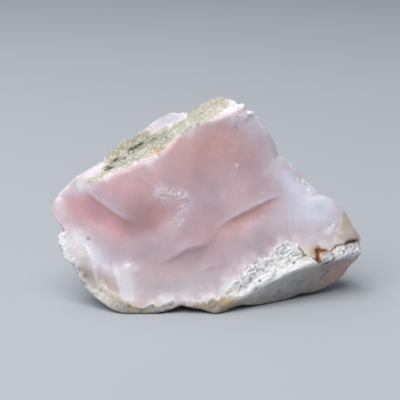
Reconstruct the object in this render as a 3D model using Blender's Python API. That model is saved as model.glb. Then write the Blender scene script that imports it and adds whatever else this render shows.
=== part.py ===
# Andean pink opal: a rough broken lump of opal with a crust, resting on a flat facet underneath.
# Metres, +Z up, the broken pink face toward -Y, the long way along X.

import math

import bpy
import numpy as np

# Driving dimensions of the whole stone.
LENGTH = 0.0755
DEPTH = 0.045
HEIGHT = 0.047

# The forms below are laid out in millimetres and scaled to the dimensions above.
MM = 0.001
TRIANGLES = 9400
START_LEVEL = 7

# The broken face leans back by this angle. Its own axes are across (X), up (along the lean)
# and deep (into the stone).
LEAN = math.radians(14.0)
FACE_MIDDLE = (0.0, 17.0)
RAY_CENTRE = np.array([0.0, 3.0, 19.0])
FORM_CENTRE = np.array([0.0, 0.0, 20.0])
RAY_REACH = 58.0
RAY_STEP = 0.5
BASE_LEVEL = 0.5
SIDE_LEAN = 0.38

# Outer edge of the stone as it looks square onto the broken face: across, up, deep.
RIM = [
    (-37.7, 19.9, -10.3), (-36.8, 22.3, -10.0), (-33.3, 26.2, -9.0), (-25.1, 31.5, -7.5),
    (-24.4, 33.0, -7.2), (-21.0, 36.3, -6.4), (-16.4, 38.3, -5.6), (-10.4, 43.0, -3.8),
    (-8.2, 43.6, -3.0), (-6.7, 43.3, -3.5), (-3.7, 43.9, -4.5), (0.7, 47.0, -6.0),
    (4.7, 47.7, -6.5), (5.9, 47.2, -6.6), (6.6, 46.2, -6.7), (9.0, 45.7, -7.0),
    (9.2, 43.9, -6.5), (10.9, 43.7, -6.0), (12.2, 42.3, -6.2), (14.4, 39.7, -6.5),
    (17.5, 33.3, -6.0), (21.2, 30.6, -5.2), (23.7, 27.8, -4.5), (28.1, 23.8, -3.5),
    (30.8, 22.8, -3.0), (35.8, 18.9, -2.5), (37.2, 17.1, -2.9), (38.4, 13.7, -3.5),
    (37.9, 11.8, -4.0), (38.1, 9.8, -4.5), (36.8, 7.8, -4.7), (35.0, 6.1, -4.9),
    (34.6, 4.5, -5.0), (33.5, 3.0, -5.3), (31.6, 1.5, -5.7), (28.5, 0.3, -6.4),
    (26.0, -0.2, -7.1), (22.9, -0.2, -8.0), (11.5, -2.6, -11.8), (8.4, -2.4, -13.5),
    (6.0, -3.0, -15.0), (3.3, -4.4, -20.0), (1.5, -4.2, -19.4), (-1.2, -3.2, -18.5),
    (-6.0, -2.4, -17.3), (-14.2, -4.4, -19.8), (-16.8, -4.4, -19.8), (-19.8, -4.3, -19.5),
    (-21.3, -3.8, -18.9), (-29.5, 2.0, -15.1), (-32.5, 7.3, -13.7), (-33.9, 8.2, -13.2),
    (-35.0, 10.2, -12.5), (-35.7, 12.0, -12.0), (-35.8, 13.8, -11.5), (-34.1, 14.9, -11.9),
    (-37.2, 18.7, -10.6),
]

# Upright sections of the broken face, by distance across: up, deep.
FACE_SECTIONS = {
    -37.0: [(24, -9.5), (20, -10.6), (16, -11.0), (12, -11.6)],
    -33.0: [(25, -11.5), (20, -12.0), (16, -12.2), (11, -13.2)],
    -27.0: [(28, -14.6), (24, -15.0), (18, -13.6), (13, -14.4), (8, -15.6), (2, -16.0)],
    -20.5: [(31, -15.4), (26, -16.0), (21, -16.2), (15, -15.6), (10, -16.6), (4, -18.5), (-3, -19.8)],
    -14.8: [(33, -16.0), (28, -16.3), (24, -16.8), (20, -16.8), (15, -15.5), (10, -16.6),
            (5, -18.2), (-3, -20.0)],
    -4.0: [(40, -15.0), (34, -15.0), (28, -15.3), (22, -16.2), (16, -16.3), (10, -17.1),
           (4, -18.4), (-3, -20.0)],
    4.0: [(44, -13.8), (38, -12.9), (31, -12.8), (25, -13.3), (19, -14.4), (12, -15.8),
          (5, -17.9), (-3, -20.2)],
    10.0: [(43, -12.6), (36, -11.8), (29, -11.6), (22, -12.9), (16, -13.6), (10, -15.6),
           (4, -17.4), (-1, -18.4)],
    14.0: [(38, -10.8), (32, -10.3), (26, -10.9), (20, -12.2), (14, -13.2), (8, -15.0), (3, -16.8)],
    20.0: [(29, -8.6), (24, -9.0), (18, -10.3), (12, -12.0), (8, -13.4), (4, -14.9)],
    27.6: [(23, -6.8), (18.6, -7.6), (14, -8.8), (9.7, -10.4), (6, -11.8)],
    35.0: [(18, -4.6), (14, -5.4), (10, -6.6), (6, -8.2)],
    40.0: [(14, -3.0), (8, -4.6)],
}
SECTION_EASE = 4.0

# Shell edges left by the break: points (across, up, share of full height), then the height of
# the edge, how far the swelling above it reaches, and how far below it the surface drops back.
LEDGES = {
    "main": ([(-3, 13, 0), (3, 16.4, 0.45), (7, 18.5, 0.9), (11, 20.2, 1), (15.5, 22.2, 0.6),
              (20, 23.6, 0.2), (26, 25.5, 0)], 1.6, 4.5, 1.1),
    "hood": ([(-31, 25.5, 0), (-28.6, 23.7, 0.5), (-26.4, 21.8, 0.85), (-22.8, 19.9, 1),
              (-18.8, 18.4, 0.85), (-15.5, 17.2, 0)], 1.7, 6.0, 1.4),
    "lower": ([(-10, 8, 0), (-6, 9.4, 0.8), (-1, 10.8, 1), (4, 12.2, 0.5), (8, 13.5, 0)],
              0.45, 3.0, 1.3),
    "lowest": ([(-4, 3.8, 0), (-1, 5.6, 1), (3, 6.6, 0.6), (6, 7.5, 0)], 0.35, 2.5, 0.7),
}

# Hollows in the broken face: across, up, half lengths, turn in degrees, depth.
HOLLOWS = {
    "under_main_ledge": (9.5, 17.2, 5.5, 1.9, 22, 0.8),
    "under_hood": (-24.5, 17.6, 6.5, 2.6, -28, 1.2),
    "valley": (-15.0, 15.0, 4.0, 2.2, -20, 0.8),
}

# The crusted slope that cuts the face off at the top left, and the swellings on it:
# across, up, half lengths, turn in degrees, height.
CRUST_AT = (-14.8, 31.5, -16.0)
CRUST_SLOPE_ACROSS = -0.55
CRUST_SLOPE_UP = 1.19
CRUST_SWELLINGS = {
    "under_peak": (-3.5, 38.5, 8.0, 5.0, -30, 3.4),
    "long_bump": (-18.5, 37.0, 7.0, 2.4, 32, 2.0),
    "left_end": (-30.0, 26.0, 5.0, 3.0, 30, 1.5),
}

# Broken planes of the back and the ends: facing in degrees (0 is -Y, 90 is +X), rise in
# degrees, distance from the form centre, rounding of the edge.
PLANES = {
    "back": (176, 6, 21.5, 1.5),
    "back_left": (-131, 16, 26.6, 1.5),
    "back_right": (134, 18, 25.2, 2.0),
    "back_low": (165, -38, 24.5, 1.5),
    "back_top": (172, 55, 27.0, 1.5),
    "crest_back": (-140, 47, 26.6, 1.5),
    "shoulder_back": (128, 46, 24.0, 2.0),
    "left_low_back": (-118, -32, 31.0, 2.0),
    "right_low_back": (116, -36, 33.5, 2.0),
    "left_low": (-82, -42, 34.5, 1.0),
}

# Hollow shell-shaped breaks at the back: centre of the bowl, its radius, rounding of its edge.
BOWLS = {
    "upper": ((-4, 45, 44), 33.0, 1.0),
    "right": ((26, 46, 10), 34.5, 1.5),
    "left": ((-40, 32, 8), 27.0, 1.0),
}

# The rind block under the right of the face is undercut by two planes, each through three
# points: across, up, deep.
UNDERCUTS = {
    "long": ((8.2, -2.4, -18.6), (24.0, 4.6, -14.0), (22.7, -0.1, -8.5)),
    "end": ((33.5, 6.6, -9.2), (24.0, 4.6, -14.0), (31.0, 1.4, -6.0)),
}

# Roughness of the parts that aren't the smooth broken face: size of a lump, its height.
LUMPS = ((6.0, 0.45), (2.6, 0.22))
CRUST_LUMPS = ((3.6, 0.45),)


def soft_max(a, b, rounding):
    """The larger of two values, with the corner between them rounded."""
    h = np.maximum(rounding - np.abs(a - b), 0.0) / rounding
    return np.maximum(a, b) + h * h * rounding * 0.25


def soft_step(t, width):
    t = np.clip(t / width * 0.5 + 0.5, 0.0, 1.0)
    return t * t * (3.0 - 2.0 * t)


def swelling(across, up, at_across, at_up, long_half, short_half, turn):
    angle = math.radians(turn)
    da = across - at_across
    du = up - at_up
    along = (da * math.cos(angle) + du * math.sin(angle)) / long_half
    over = (du * math.cos(angle) - da * math.sin(angle)) / short_half
    return np.exp(-(along * along + over * over))


def facing(turn, rise):
    """Unit normal of a plane from its facing and rise in degrees."""
    a = math.radians(turn)
    e = math.radians(rise)
    return np.array([math.sin(a) * math.cos(e), -math.cos(a) * math.cos(e), math.sin(e)])


def to_stone(across, up, deep):
    """A point of the broken face's axes in the stone's axes."""
    y = math.sin(LEAN) * up + math.cos(LEAN) * deep
    z = math.cos(LEAN) * up - math.sin(LEAN) * deep
    return np.array([across, y, z])


def plane_through(points):
    """Normal and distance from the form centre of the plane through three points."""
    a, b, c = [to_stone(*p) for p in points]
    normal = np.cross(b - a, c - a)
    normal = normal / np.linalg.norm(normal)
    distance = normal @ (a - FORM_CENTRE)
    if distance < 0.0:
        normal = -normal
        distance = -distance
    return normal, distance


def lump_noise(points, size, seed):
    """Smooth random values from -1 to 1 that change over the given size."""
    cell = np.floor(points / size).astype(np.int64)
    part = points / size - cell
    part = part * part * (3.0 - 2.0 * part)
    total = np.zeros(len(points))
    for corner in range(8):
        offset = np.array([corner & 1, corner >> 1 & 1, corner >> 2 & 1])
        key = (cell + offset) * np.array([73856093, 19349663, 83492791])
        mixed = key[:, 0] ^ key[:, 1] ^ key[:, 2] ^ seed * 2654435761
        mixed = (mixed ^ mixed >> 13) * 1274126177 & 0xFFFFFFFF
        value = ((mixed ^ mixed >> 16) & 0xFFFFFF) / 0xFFFFFF * 2.0 - 1.0
        share = np.where(offset, part, 1.0 - part)
        total = total + value * share[:, 0] * share[:, 1] * share[:, 2]
    return total


class BrokenFace:
    """The broken face as a depth at each place across and up, worked out once on a fine grid."""

    STEP = 0.2
    ACROSS = (-46.0, 46.0)
    UP = (-12.0, 56.0)

    def __init__(self):
        self.points = np.array([(a, u, d) for a, row in FACE_SECTIONS.items() for u, d in row], float)
        self.weights = self.solve_sections()
        across = np.arange(self.ACROSS[0], self.ACROSS[1], self.STEP)
        up = np.arange(self.UP[0], self.UP[1], self.STEP)
        grid_across, grid_up = np.meshgrid(across, up)
        self.face = self.shape(grid_across, grid_up)
        self.crust = self.crust_slope(grid_across, grid_up)

    @staticmethod
    def bend(square):
        return 0.5 * square * np.log(square + 1e-9)

    def solve_sections(self):
        """Weights of the thin bent sheet that passes near all the section points."""
        count = len(self.points)
        flat = self.points[:, :2]
        square = ((flat[:, None] - flat[None]) ** 2).sum(axis=2)
        matrix = np.zeros((count + 3, count + 3))
        matrix[:count, :count] = self.bend(square) + np.eye(count) * SECTION_EASE
        matrix[:count, count] = 1.0
        matrix[:count, count + 1:] = flat
        matrix[count:, :count] = matrix[:count, count:].T
        return np.linalg.solve(matrix, np.append(self.points[:, 2], [0.0, 0.0, 0.0]))

    def shape(self, across, up):
        count = len(self.points)
        deep = self.weights[count] + self.weights[count + 1] * across + self.weights[count + 2] * up
        for weight, point in zip(self.weights, self.points):
            deep = deep + weight * self.bend((across - point[0]) ** 2 + (up - point[1]) ** 2)
        for line, height, reach, drop in LEDGES.values():
            deep = deep - self.ledge(across, up, np.array(line, float), height, reach, drop)
        for hollow in HOLLOWS.values():
            deep = deep + hollow[5] * swelling(across, up, *hollow[:5])
        return deep

    @staticmethod
    def ledge(across, up, line, height, reach, drop):
        edge = np.interp(across, line[:, 0], line[:, 1])
        share = np.interp(across, line[:, 0], line[:, 2])
        share = share * share * (3.0 - 2.0 * share)
        over = up - edge
        above = np.exp(-np.clip(over, 0.0, None) / reach)
        below = np.clip(1.0 + over / drop, 0.0, 1.0) ** 1.5
        return height * share * np.where(over > 0.0, above, below)

    @staticmethod
    def crust_slope(across, up):
        deep = CRUST_AT[2] + CRUST_SLOPE_UP * (up - CRUST_AT[1])
        deep = deep + CRUST_SLOPE_ACROSS * (across - CRUST_AT[0])
        for bump in CRUST_SWELLINGS.values():
            deep = deep - bump[5] * swelling(across, up, *bump[:5])
        return deep

    def read(self, grid, across, up):
        """The grid's value at any place, blended from the four points around it."""
        i = np.clip((across - self.ACROSS[0]) / self.STEP, 0.0, grid.shape[1] - 1.001)
        j = np.clip((up - self.UP[0]) / self.STEP, 0.0, grid.shape[0] - 1.001)
        a = i.astype(int)
        b = j.astype(int)
        u = i - a
        v = j - b
        low = grid[b, a] * (1.0 - u) + grid[b, a + 1] * u
        high = grid[b + 1, a] * (1.0 - u) + grid[b + 1, a + 1] * u
        return low * (1.0 - v) + high * v


class Rim:
    """Radius and depth of the outer edge at each bearing about the middle of the face."""

    EVEN = 720
    SMALL_WINDOW = 3
    DEPTH_WINDOW = 10
    WIDE_WINDOW = 28

    def __init__(self):
        rim = np.array(RIM)
        across = rim[:, 0] - FACE_MIDDLE[0]
        up = rim[:, 1] - FACE_MIDDLE[1]
        bearing = np.arctan2(up, across)
        order = np.argsort(bearing)
        self.bearings = np.linspace(-math.pi, math.pi, self.EVEN + 1)
        radius = np.interp(self.bearings, bearing[order], np.hypot(across, up)[order], period=math.tau)
        depth = np.interp(self.bearings, bearing[order], rim[order, 2], period=math.tau)
        self.radius = self.smooth(radius, self.SMALL_WINDOW)
        self.depth = self.smooth(depth, self.DEPTH_WINDOW)
        self.wide_radius = self.smooth(radius, self.WIDE_WINDOW)

    @staticmethod
    def smooth(values, half):
        window = np.hanning(2 * half + 3)[1:-1]
        around = np.concatenate([values[-half - 1:-1], values, values[1:half + 1]])
        return np.convolve(around, window / window.sum(), "valid")

    def read(self, table, bearing):
        return np.interp(bearing, self.bearings, table)


FACE = BrokenFace()
EDGE = Rim()
CUT_PLANES = [(facing(turn, rise), distance, rounding) for turn, rise, distance, rounding in PLANES.values()]
UNDER_PLANES = [plane_through(points) for points in UNDERCUTS.values()]


def outside(points):
    """How far each point lies outside the stone, negative inside it."""
    across = points[:, 0]
    up = math.cos(LEAN) * points[:, 2] + math.sin(LEAN) * points[:, 1]
    deep = math.cos(LEAN) * points[:, 1] - math.sin(LEAN) * points[:, 2]
    from_centre = points - FORM_CENTRE
    far = BASE_LEVEL - points[:, 2]
    for normal, distance, rounding in CUT_PLANES:
        far = soft_max(far, from_centre @ normal - distance, rounding)
    for centre, radius, rounding in BOWLS.values():
        far = soft_max(far, radius - np.linalg.norm(points - np.array(centre), axis=1), rounding)

    # The sides lean in behind the rim and lose its small detail as they go back. Underneath they
    # run straight back until they meet the flat facet.
    softness = 0.6 + 4.0 * soft_step(across - 17.0, 8.0) * soft_step(up - 10.0, 3.0)
    bearing = np.arctan2(up - FACE_MIDDLE[1], across - FACE_MIDDLE[0])
    radius = EDGE.read(EDGE.radius, bearing)
    wide = np.minimum(EDGE.read(EDGE.wide_radius, bearing), radius + 3.0)
    behind = np.clip(deep - EDGE.read(EDGE.depth, bearing) - 0.8 * softness, 0.0, None)
    radius = radius + (wide - radius) * np.clip(behind / 6.0, 0.0, 1.0)
    out = np.hypot(across - FACE_MIDDLE[0], up - FACE_MIDDLE[1]) - radius
    lean_in = SIDE_LEAN * soft_step(np.sin(bearing) + 0.62, 0.3)
    far = soft_max(far, 0.85 * out + lean_in * behind, 0.5)

    # Rough breaks at the back and the sides, fading toward the flat facet below.
    clear_of_base = np.clip((points[:, 2] - BASE_LEVEL) / 1.5, 0.0, 1.0)
    rough = np.clip((behind - 0.5) / 3.0, 0.0, 1.0) * clear_of_base
    for seed, (size, height) in enumerate(LUMPS, 1):
        far = far + height * rough * lump_noise(points, size, seed)

    # The broken face, with the crusted slope that cuts off its top.
    face = FACE.read(FACE.face, across, up)
    crust = FACE.read(FACE.crust, across, up)
    crusted = np.clip((crust - face) / 1.5, 0.0, 1.0)
    for seed, (size, height) in enumerate(CRUST_LUMPS, 5):
        crust = crust + height * crusted * lump_noise(points, size, seed)
    far = soft_max(far, 0.85 * (soft_max(face, crust, 0.5) - deep), softness)
    for normal, distance in UNDER_PLANES:
        far = soft_max(far, from_centre @ normal - distance, 0.6)
    return far


def surface_along(directions):
    """Points where rays from inside the stone leave it."""
    reach = np.full(len(directions), RAY_REACH)
    outer = reach.copy()
    searching = np.arange(len(directions))
    while len(searching):
        reach[searching] -= RAY_STEP
        points = RAY_CENTRE + reach[searching, None] * directions[searching]
        still_out = outside(points) > 0.0
        outer[searching[still_out]] = reach[searching[still_out]]
        searching = searching[still_out]
    inner = reach
    for _ in range(14):
        middle = 0.5 * (inner + outer)
        out = outside(RAY_CENTRE + middle[:, None] * directions) > 0.0
        outer = np.where(out, middle, outer)
        inner = np.where(out, inner, middle)
    return RAY_CENTRE + (0.5 * (inner + outer))[:, None] * directions


def read_points(mesh):
    points = np.empty(len(mesh.vertices) * 3)
    mesh.vertices.foreach_get("co", points)
    return points.reshape(-1, 3)


def write_points(mesh, points):
    mesh.vertices.foreach_set("co", points.ravel())
    mesh.update()


def fit_to_size(points):
    """Scales the stone to its driving dimensions, centred on the origin and standing on z = 0."""
    low = points.min(axis=0)
    high = points.max(axis=0)
    middle = (low + high) / 2.0
    fitted = (points - [middle[0], middle[1], low[2]]) / (high - low) * [LENGTH, DEPTH, HEIGHT]
    fitted[fitted[:, 2] < 0.03 * MM, 2] = 0.0
    return fitted


def opal_material():
    material = bpy.data.materials.new("pink_opal")
    material.use_nodes = True
    shader = material.node_tree.nodes["Principled BSDF"]
    shader.inputs["Base Color"].default_value = (0.66, 0.44, 0.45, 1.0)
    shader.inputs["Roughness"].default_value = 0.38
    shader.inputs["Metallic"].default_value = 0.0
    return material


def main():
    for old in list(bpy.data.objects):
        bpy.data.objects.remove(old)
    collection = bpy.data.collections.new("andean_pink_opal")
    bpy.context.scene.collection.children.link(collection)

    bpy.ops.mesh.primitive_ico_sphere_add(subdivisions=START_LEVEL, radius=1.0)
    stone = bpy.context.object
    stone.name = "andean_pink_opal"
    for holder in list(stone.users_collection):
        holder.objects.unlink(stone)
    collection.objects.link(stone)

    directions = read_points(stone.data)
    directions = directions / np.linalg.norm(directions, axis=1)[:, None]
    write_points(stone.data, surface_along(directions) * MM)

    thin = stone.modifiers.new("thin_out", "DECIMATE")
    thin.ratio = TRIANGLES / len(stone.data.polygons)
    bpy.context.view_layer.objects.active = stone
    bpy.ops.object.modifier_apply(modifier=thin.name)
    write_points(stone.data, fit_to_size(read_points(stone.data)))

    stone.data.materials.append(opal_material())
    bpy.ops.object.shade_smooth_by_angle(angle=math.radians(32.0))


main()
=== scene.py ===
import math

import bmesh
import bpy
import numpy as np
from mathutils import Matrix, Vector


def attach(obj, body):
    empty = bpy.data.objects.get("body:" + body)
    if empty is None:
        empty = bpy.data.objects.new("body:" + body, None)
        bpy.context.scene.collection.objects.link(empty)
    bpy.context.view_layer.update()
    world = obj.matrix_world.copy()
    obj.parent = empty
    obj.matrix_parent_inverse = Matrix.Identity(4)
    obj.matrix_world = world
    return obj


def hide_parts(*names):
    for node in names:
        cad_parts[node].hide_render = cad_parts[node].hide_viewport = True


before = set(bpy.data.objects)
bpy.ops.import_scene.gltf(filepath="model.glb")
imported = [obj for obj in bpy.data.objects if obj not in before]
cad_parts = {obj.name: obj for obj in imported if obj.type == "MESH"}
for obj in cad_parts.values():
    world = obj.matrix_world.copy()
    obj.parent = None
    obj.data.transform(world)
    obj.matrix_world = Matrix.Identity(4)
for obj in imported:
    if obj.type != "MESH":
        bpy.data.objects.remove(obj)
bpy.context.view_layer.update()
nodeName = "andean_pink_opal"
mm = 0.001


def linearColour(hexText, alpha=1.0):
    # sRGB hex to the linear values Blender's sockets take
    parts = [int(hexText[i:i + 2], 16) / 255.0 for i in (1, 3, 5)]
    linear = [p / 12.92 if p <= 0.04045 else ((p + 0.055) / 1.055) ** 2.4 for p in parts]
    return (*linear, alpha)


def addNode(tree, kind, settings=None, links=None):
    # adds one node, sets its sockets or options, and links sockets to other nodes' outputs
    node = tree.nodes.new(kind)
    for name, value in (settings or {}).items():
        if isinstance(name, int) or name in node.inputs:
            node.inputs[name].default_value = value
        else:
            setattr(node, name, value)
    for name, source in (links or {}).items():
        tree.links.new(source, node.inputs[name])
    return node


def softMax(a, b, rounding):
    # the larger of two, with a rounded change-over
    meeting = np.maximum(rounding - np.abs(a - b), 0.0) / rounding
    return np.maximum(a, b) + meeting * meeting * rounding * 0.25


def softStep(t, width):
    # 0 to 1 across a soft step at 0, the given width to either side
    t = np.clip(t / width * 0.5 + 0.5, 0.0, 1.0)
    return t * t * (3.0 - 2.0 * t)


def unit(values):
    return np.clip(values, 0.0, 1.0)


def bell(gap, width):
    # 1 in the middle, near 0 at twice the width
    return np.exp(-(gap / width) ** 2)


def fading(past, reach):
    # 1 up to a line, then less and less past it
    return np.exp(-np.clip(past, 0.0, None) / reach)


def swelling(across, up, atAcross, atUp, longHalf, shortHalf, turn):
    # a soft oval that is 1 in its middle
    angle = math.radians(turn)
    da, du = across - atAcross, up - atUp
    along = (da * math.cos(angle) + du * math.sin(angle)) / longHalf
    over = (du * math.cos(angle) - da * math.sin(angle)) / shortHalf
    return np.exp(-(along * along + over * over))


def hashed(cell, seed):
    # a fixed value from 0 to 1 for each cell and seed
    key = cell * np.array([73856093, 19349663, 83492791])
    mixed = key[..., 0] ^ key[..., 1] ^ key[..., 2] ^ seed * 2654435761
    mixed = (mixed ^ mixed >> 13) * 1274126177 & 0xFFFFFFFF
    return ((mixed ^ mixed >> 16) & 0xFFFFFF) / 0xFFFFFF


def lumpNoise(points, size, seed):
    # smooth values from -1 to 1 that change over the given size
    cell = np.floor(points / size).astype(np.int64)
    part = points / size - cell
    part = part * part * (3.0 - 2.0 * part)
    total = np.zeros(len(points))
    for corner in range(8):
        offset = np.array([corner & 1, corner >> 1 & 1, corner >> 2 & 1])
        share = np.where(offset, part, 1.0 - part)
        total += (hashed(cell + offset, seed) * 2.0 - 1.0) * share.prod(axis=1)
    return total


def hashedVector(cell, seed):
    return np.stack([hashed(cell, seed + k) for k in range(3)], axis=1)


def grainsAround(scaled, seed):
    # the 27 cells around each point, and where the grain's middle lies in each
    cell = np.floor(scaled).astype(np.int64)
    for corner in range(27):
        there = cell + np.array([corner % 3 - 1, corner // 3 % 3 - 1, corner // 9 - 1])
        yield there, hashedVector(there, seed)


def grainNoise(points, size, seed):
    # distance to the nearest and second nearest grain middle, and a value for the nearest grain
    scaled = points / size
    near = np.full(len(points), 9.0)
    second = np.full(len(points), 9.0)
    value = np.zeros(len(points))
    for there, middle in grainsAround(scaled, seed):
        gap = np.linalg.norm(there + middle - scaled, axis=1)
        closer = gap < near
        second = np.where(closer, near, np.minimum(second, gap))
        value = np.where(closer, hashed(there, seed + 7), value)
        near = np.where(closer, gap, near)
    return near, second, value


def nearLine(across, up, line):
    # distance in mm to a line of points, and how far along it (0 to 1) the nearest place is
    best = np.full(np.shape(across), 1e9)
    place = np.zeros(np.shape(across))
    for i in range(len(line) - 1):
        (ax, au), (bx, bu) = line[i][:2], line[i + 1][:2]
        dx, du = bx - ax, bu - au
        t = np.clip(((across - ax) * dx + (up - au) * du) / (dx * dx + du * du), 0.0, 1.0)
        gap = np.hypot(across - ax - t * dx, up - au - t * du)
        place = np.where(gap < best, (i + t) / (len(line) - 1), place)
        best = np.minimum(best, gap)
    return best, place


view = {
    "lens": 148.7,  # mm on a 36 mm sensor
    "distance": 400.0,
    "elevation": 14.0,
    "target": (-1.85, -4.51, 23.26),
    "floorColour": "#a9aeb6",
    "floorRoughness": 0.9,
    "worldColour": "#cfd6e2",
    "worldStrength": 0.27,
    "panels": {  # place, what it faces, size in m, watts, colour
        "overhead_softbox": ((-0.22, -0.34, 0.80), (0.0, 0.0, 0.02), 1.10, 12.0, "#fffdfa"),
        "back_softbox": ((-0.20, 0.35, 0.60), (0.0, 0.0, 0.02), 0.40, 1.4, "#ffffff"),
    },
}


def makeStage():
    rise = math.radians(view["elevation"])
    target = Vector(view["target"]) * mm
    back = Vector((0.0, -math.cos(rise), math.sin(rise)))
    cameraData = bpy.data.cameras.new("camera")
    cameraData.lens = view["lens"]
    cameraData.clip_start, cameraData.clip_end = 0.01, 20.0
    camera = bpy.data.objects.new("camera", cameraData)
    camera.location = target + back * view["distance"] * mm
    camera.rotation_euler = (-back).to_track_quat("-Z", "Y").to_euler()
    bpy.context.scene.collection.objects.link(camera)
    bpy.context.scene.camera = camera

    bpy.ops.mesh.primitive_plane_add(size=6.0, location=(0.0, 1.0, 0.0))
    floor = bpy.context.object
    floor.name = "floor"
    paint = bpy.data.materials.new("matt_floor_paint")  # takes soft shadows, shows no shine
    paint.use_nodes = True
    shader = paint.node_tree.nodes["Principled BSDF"]
    shader.inputs["Base Color"].default_value = linearColour(view["floorColour"])
    shader.inputs["Roughness"].default_value = view["floorRoughness"]
    floor.data.materials.append(paint)

    world = bpy.data.worlds.new("soft_room")
    world.use_nodes = True
    background = world.node_tree.nodes["Background"]
    background.inputs["Color"].default_value = linearColour(view["worldColour"])
    background.inputs["Strength"].default_value = view["worldStrength"]
    bpy.context.scene.world = world

    for name, (place, aim, size, watts, colour) in view["panels"].items():
        lightData = bpy.data.lights.new(name, "AREA")
        lightData.shape = "SQUARE"
        lightData.size = size
        lightData.energy = watts
        lightData.color = linearColour(colour)[:3]
        light = bpy.data.objects.new(name, lightData)
        light.location = place
        light.rotation_euler = (Vector(aim) - Vector(place)).to_track_quat("-Z", "Y").to_euler()
        bpy.context.scene.collection.objects.link(light)
    bpy.context.scene.view_settings.view_transform = "Standard"


makeStage()
print("stage ready")


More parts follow.
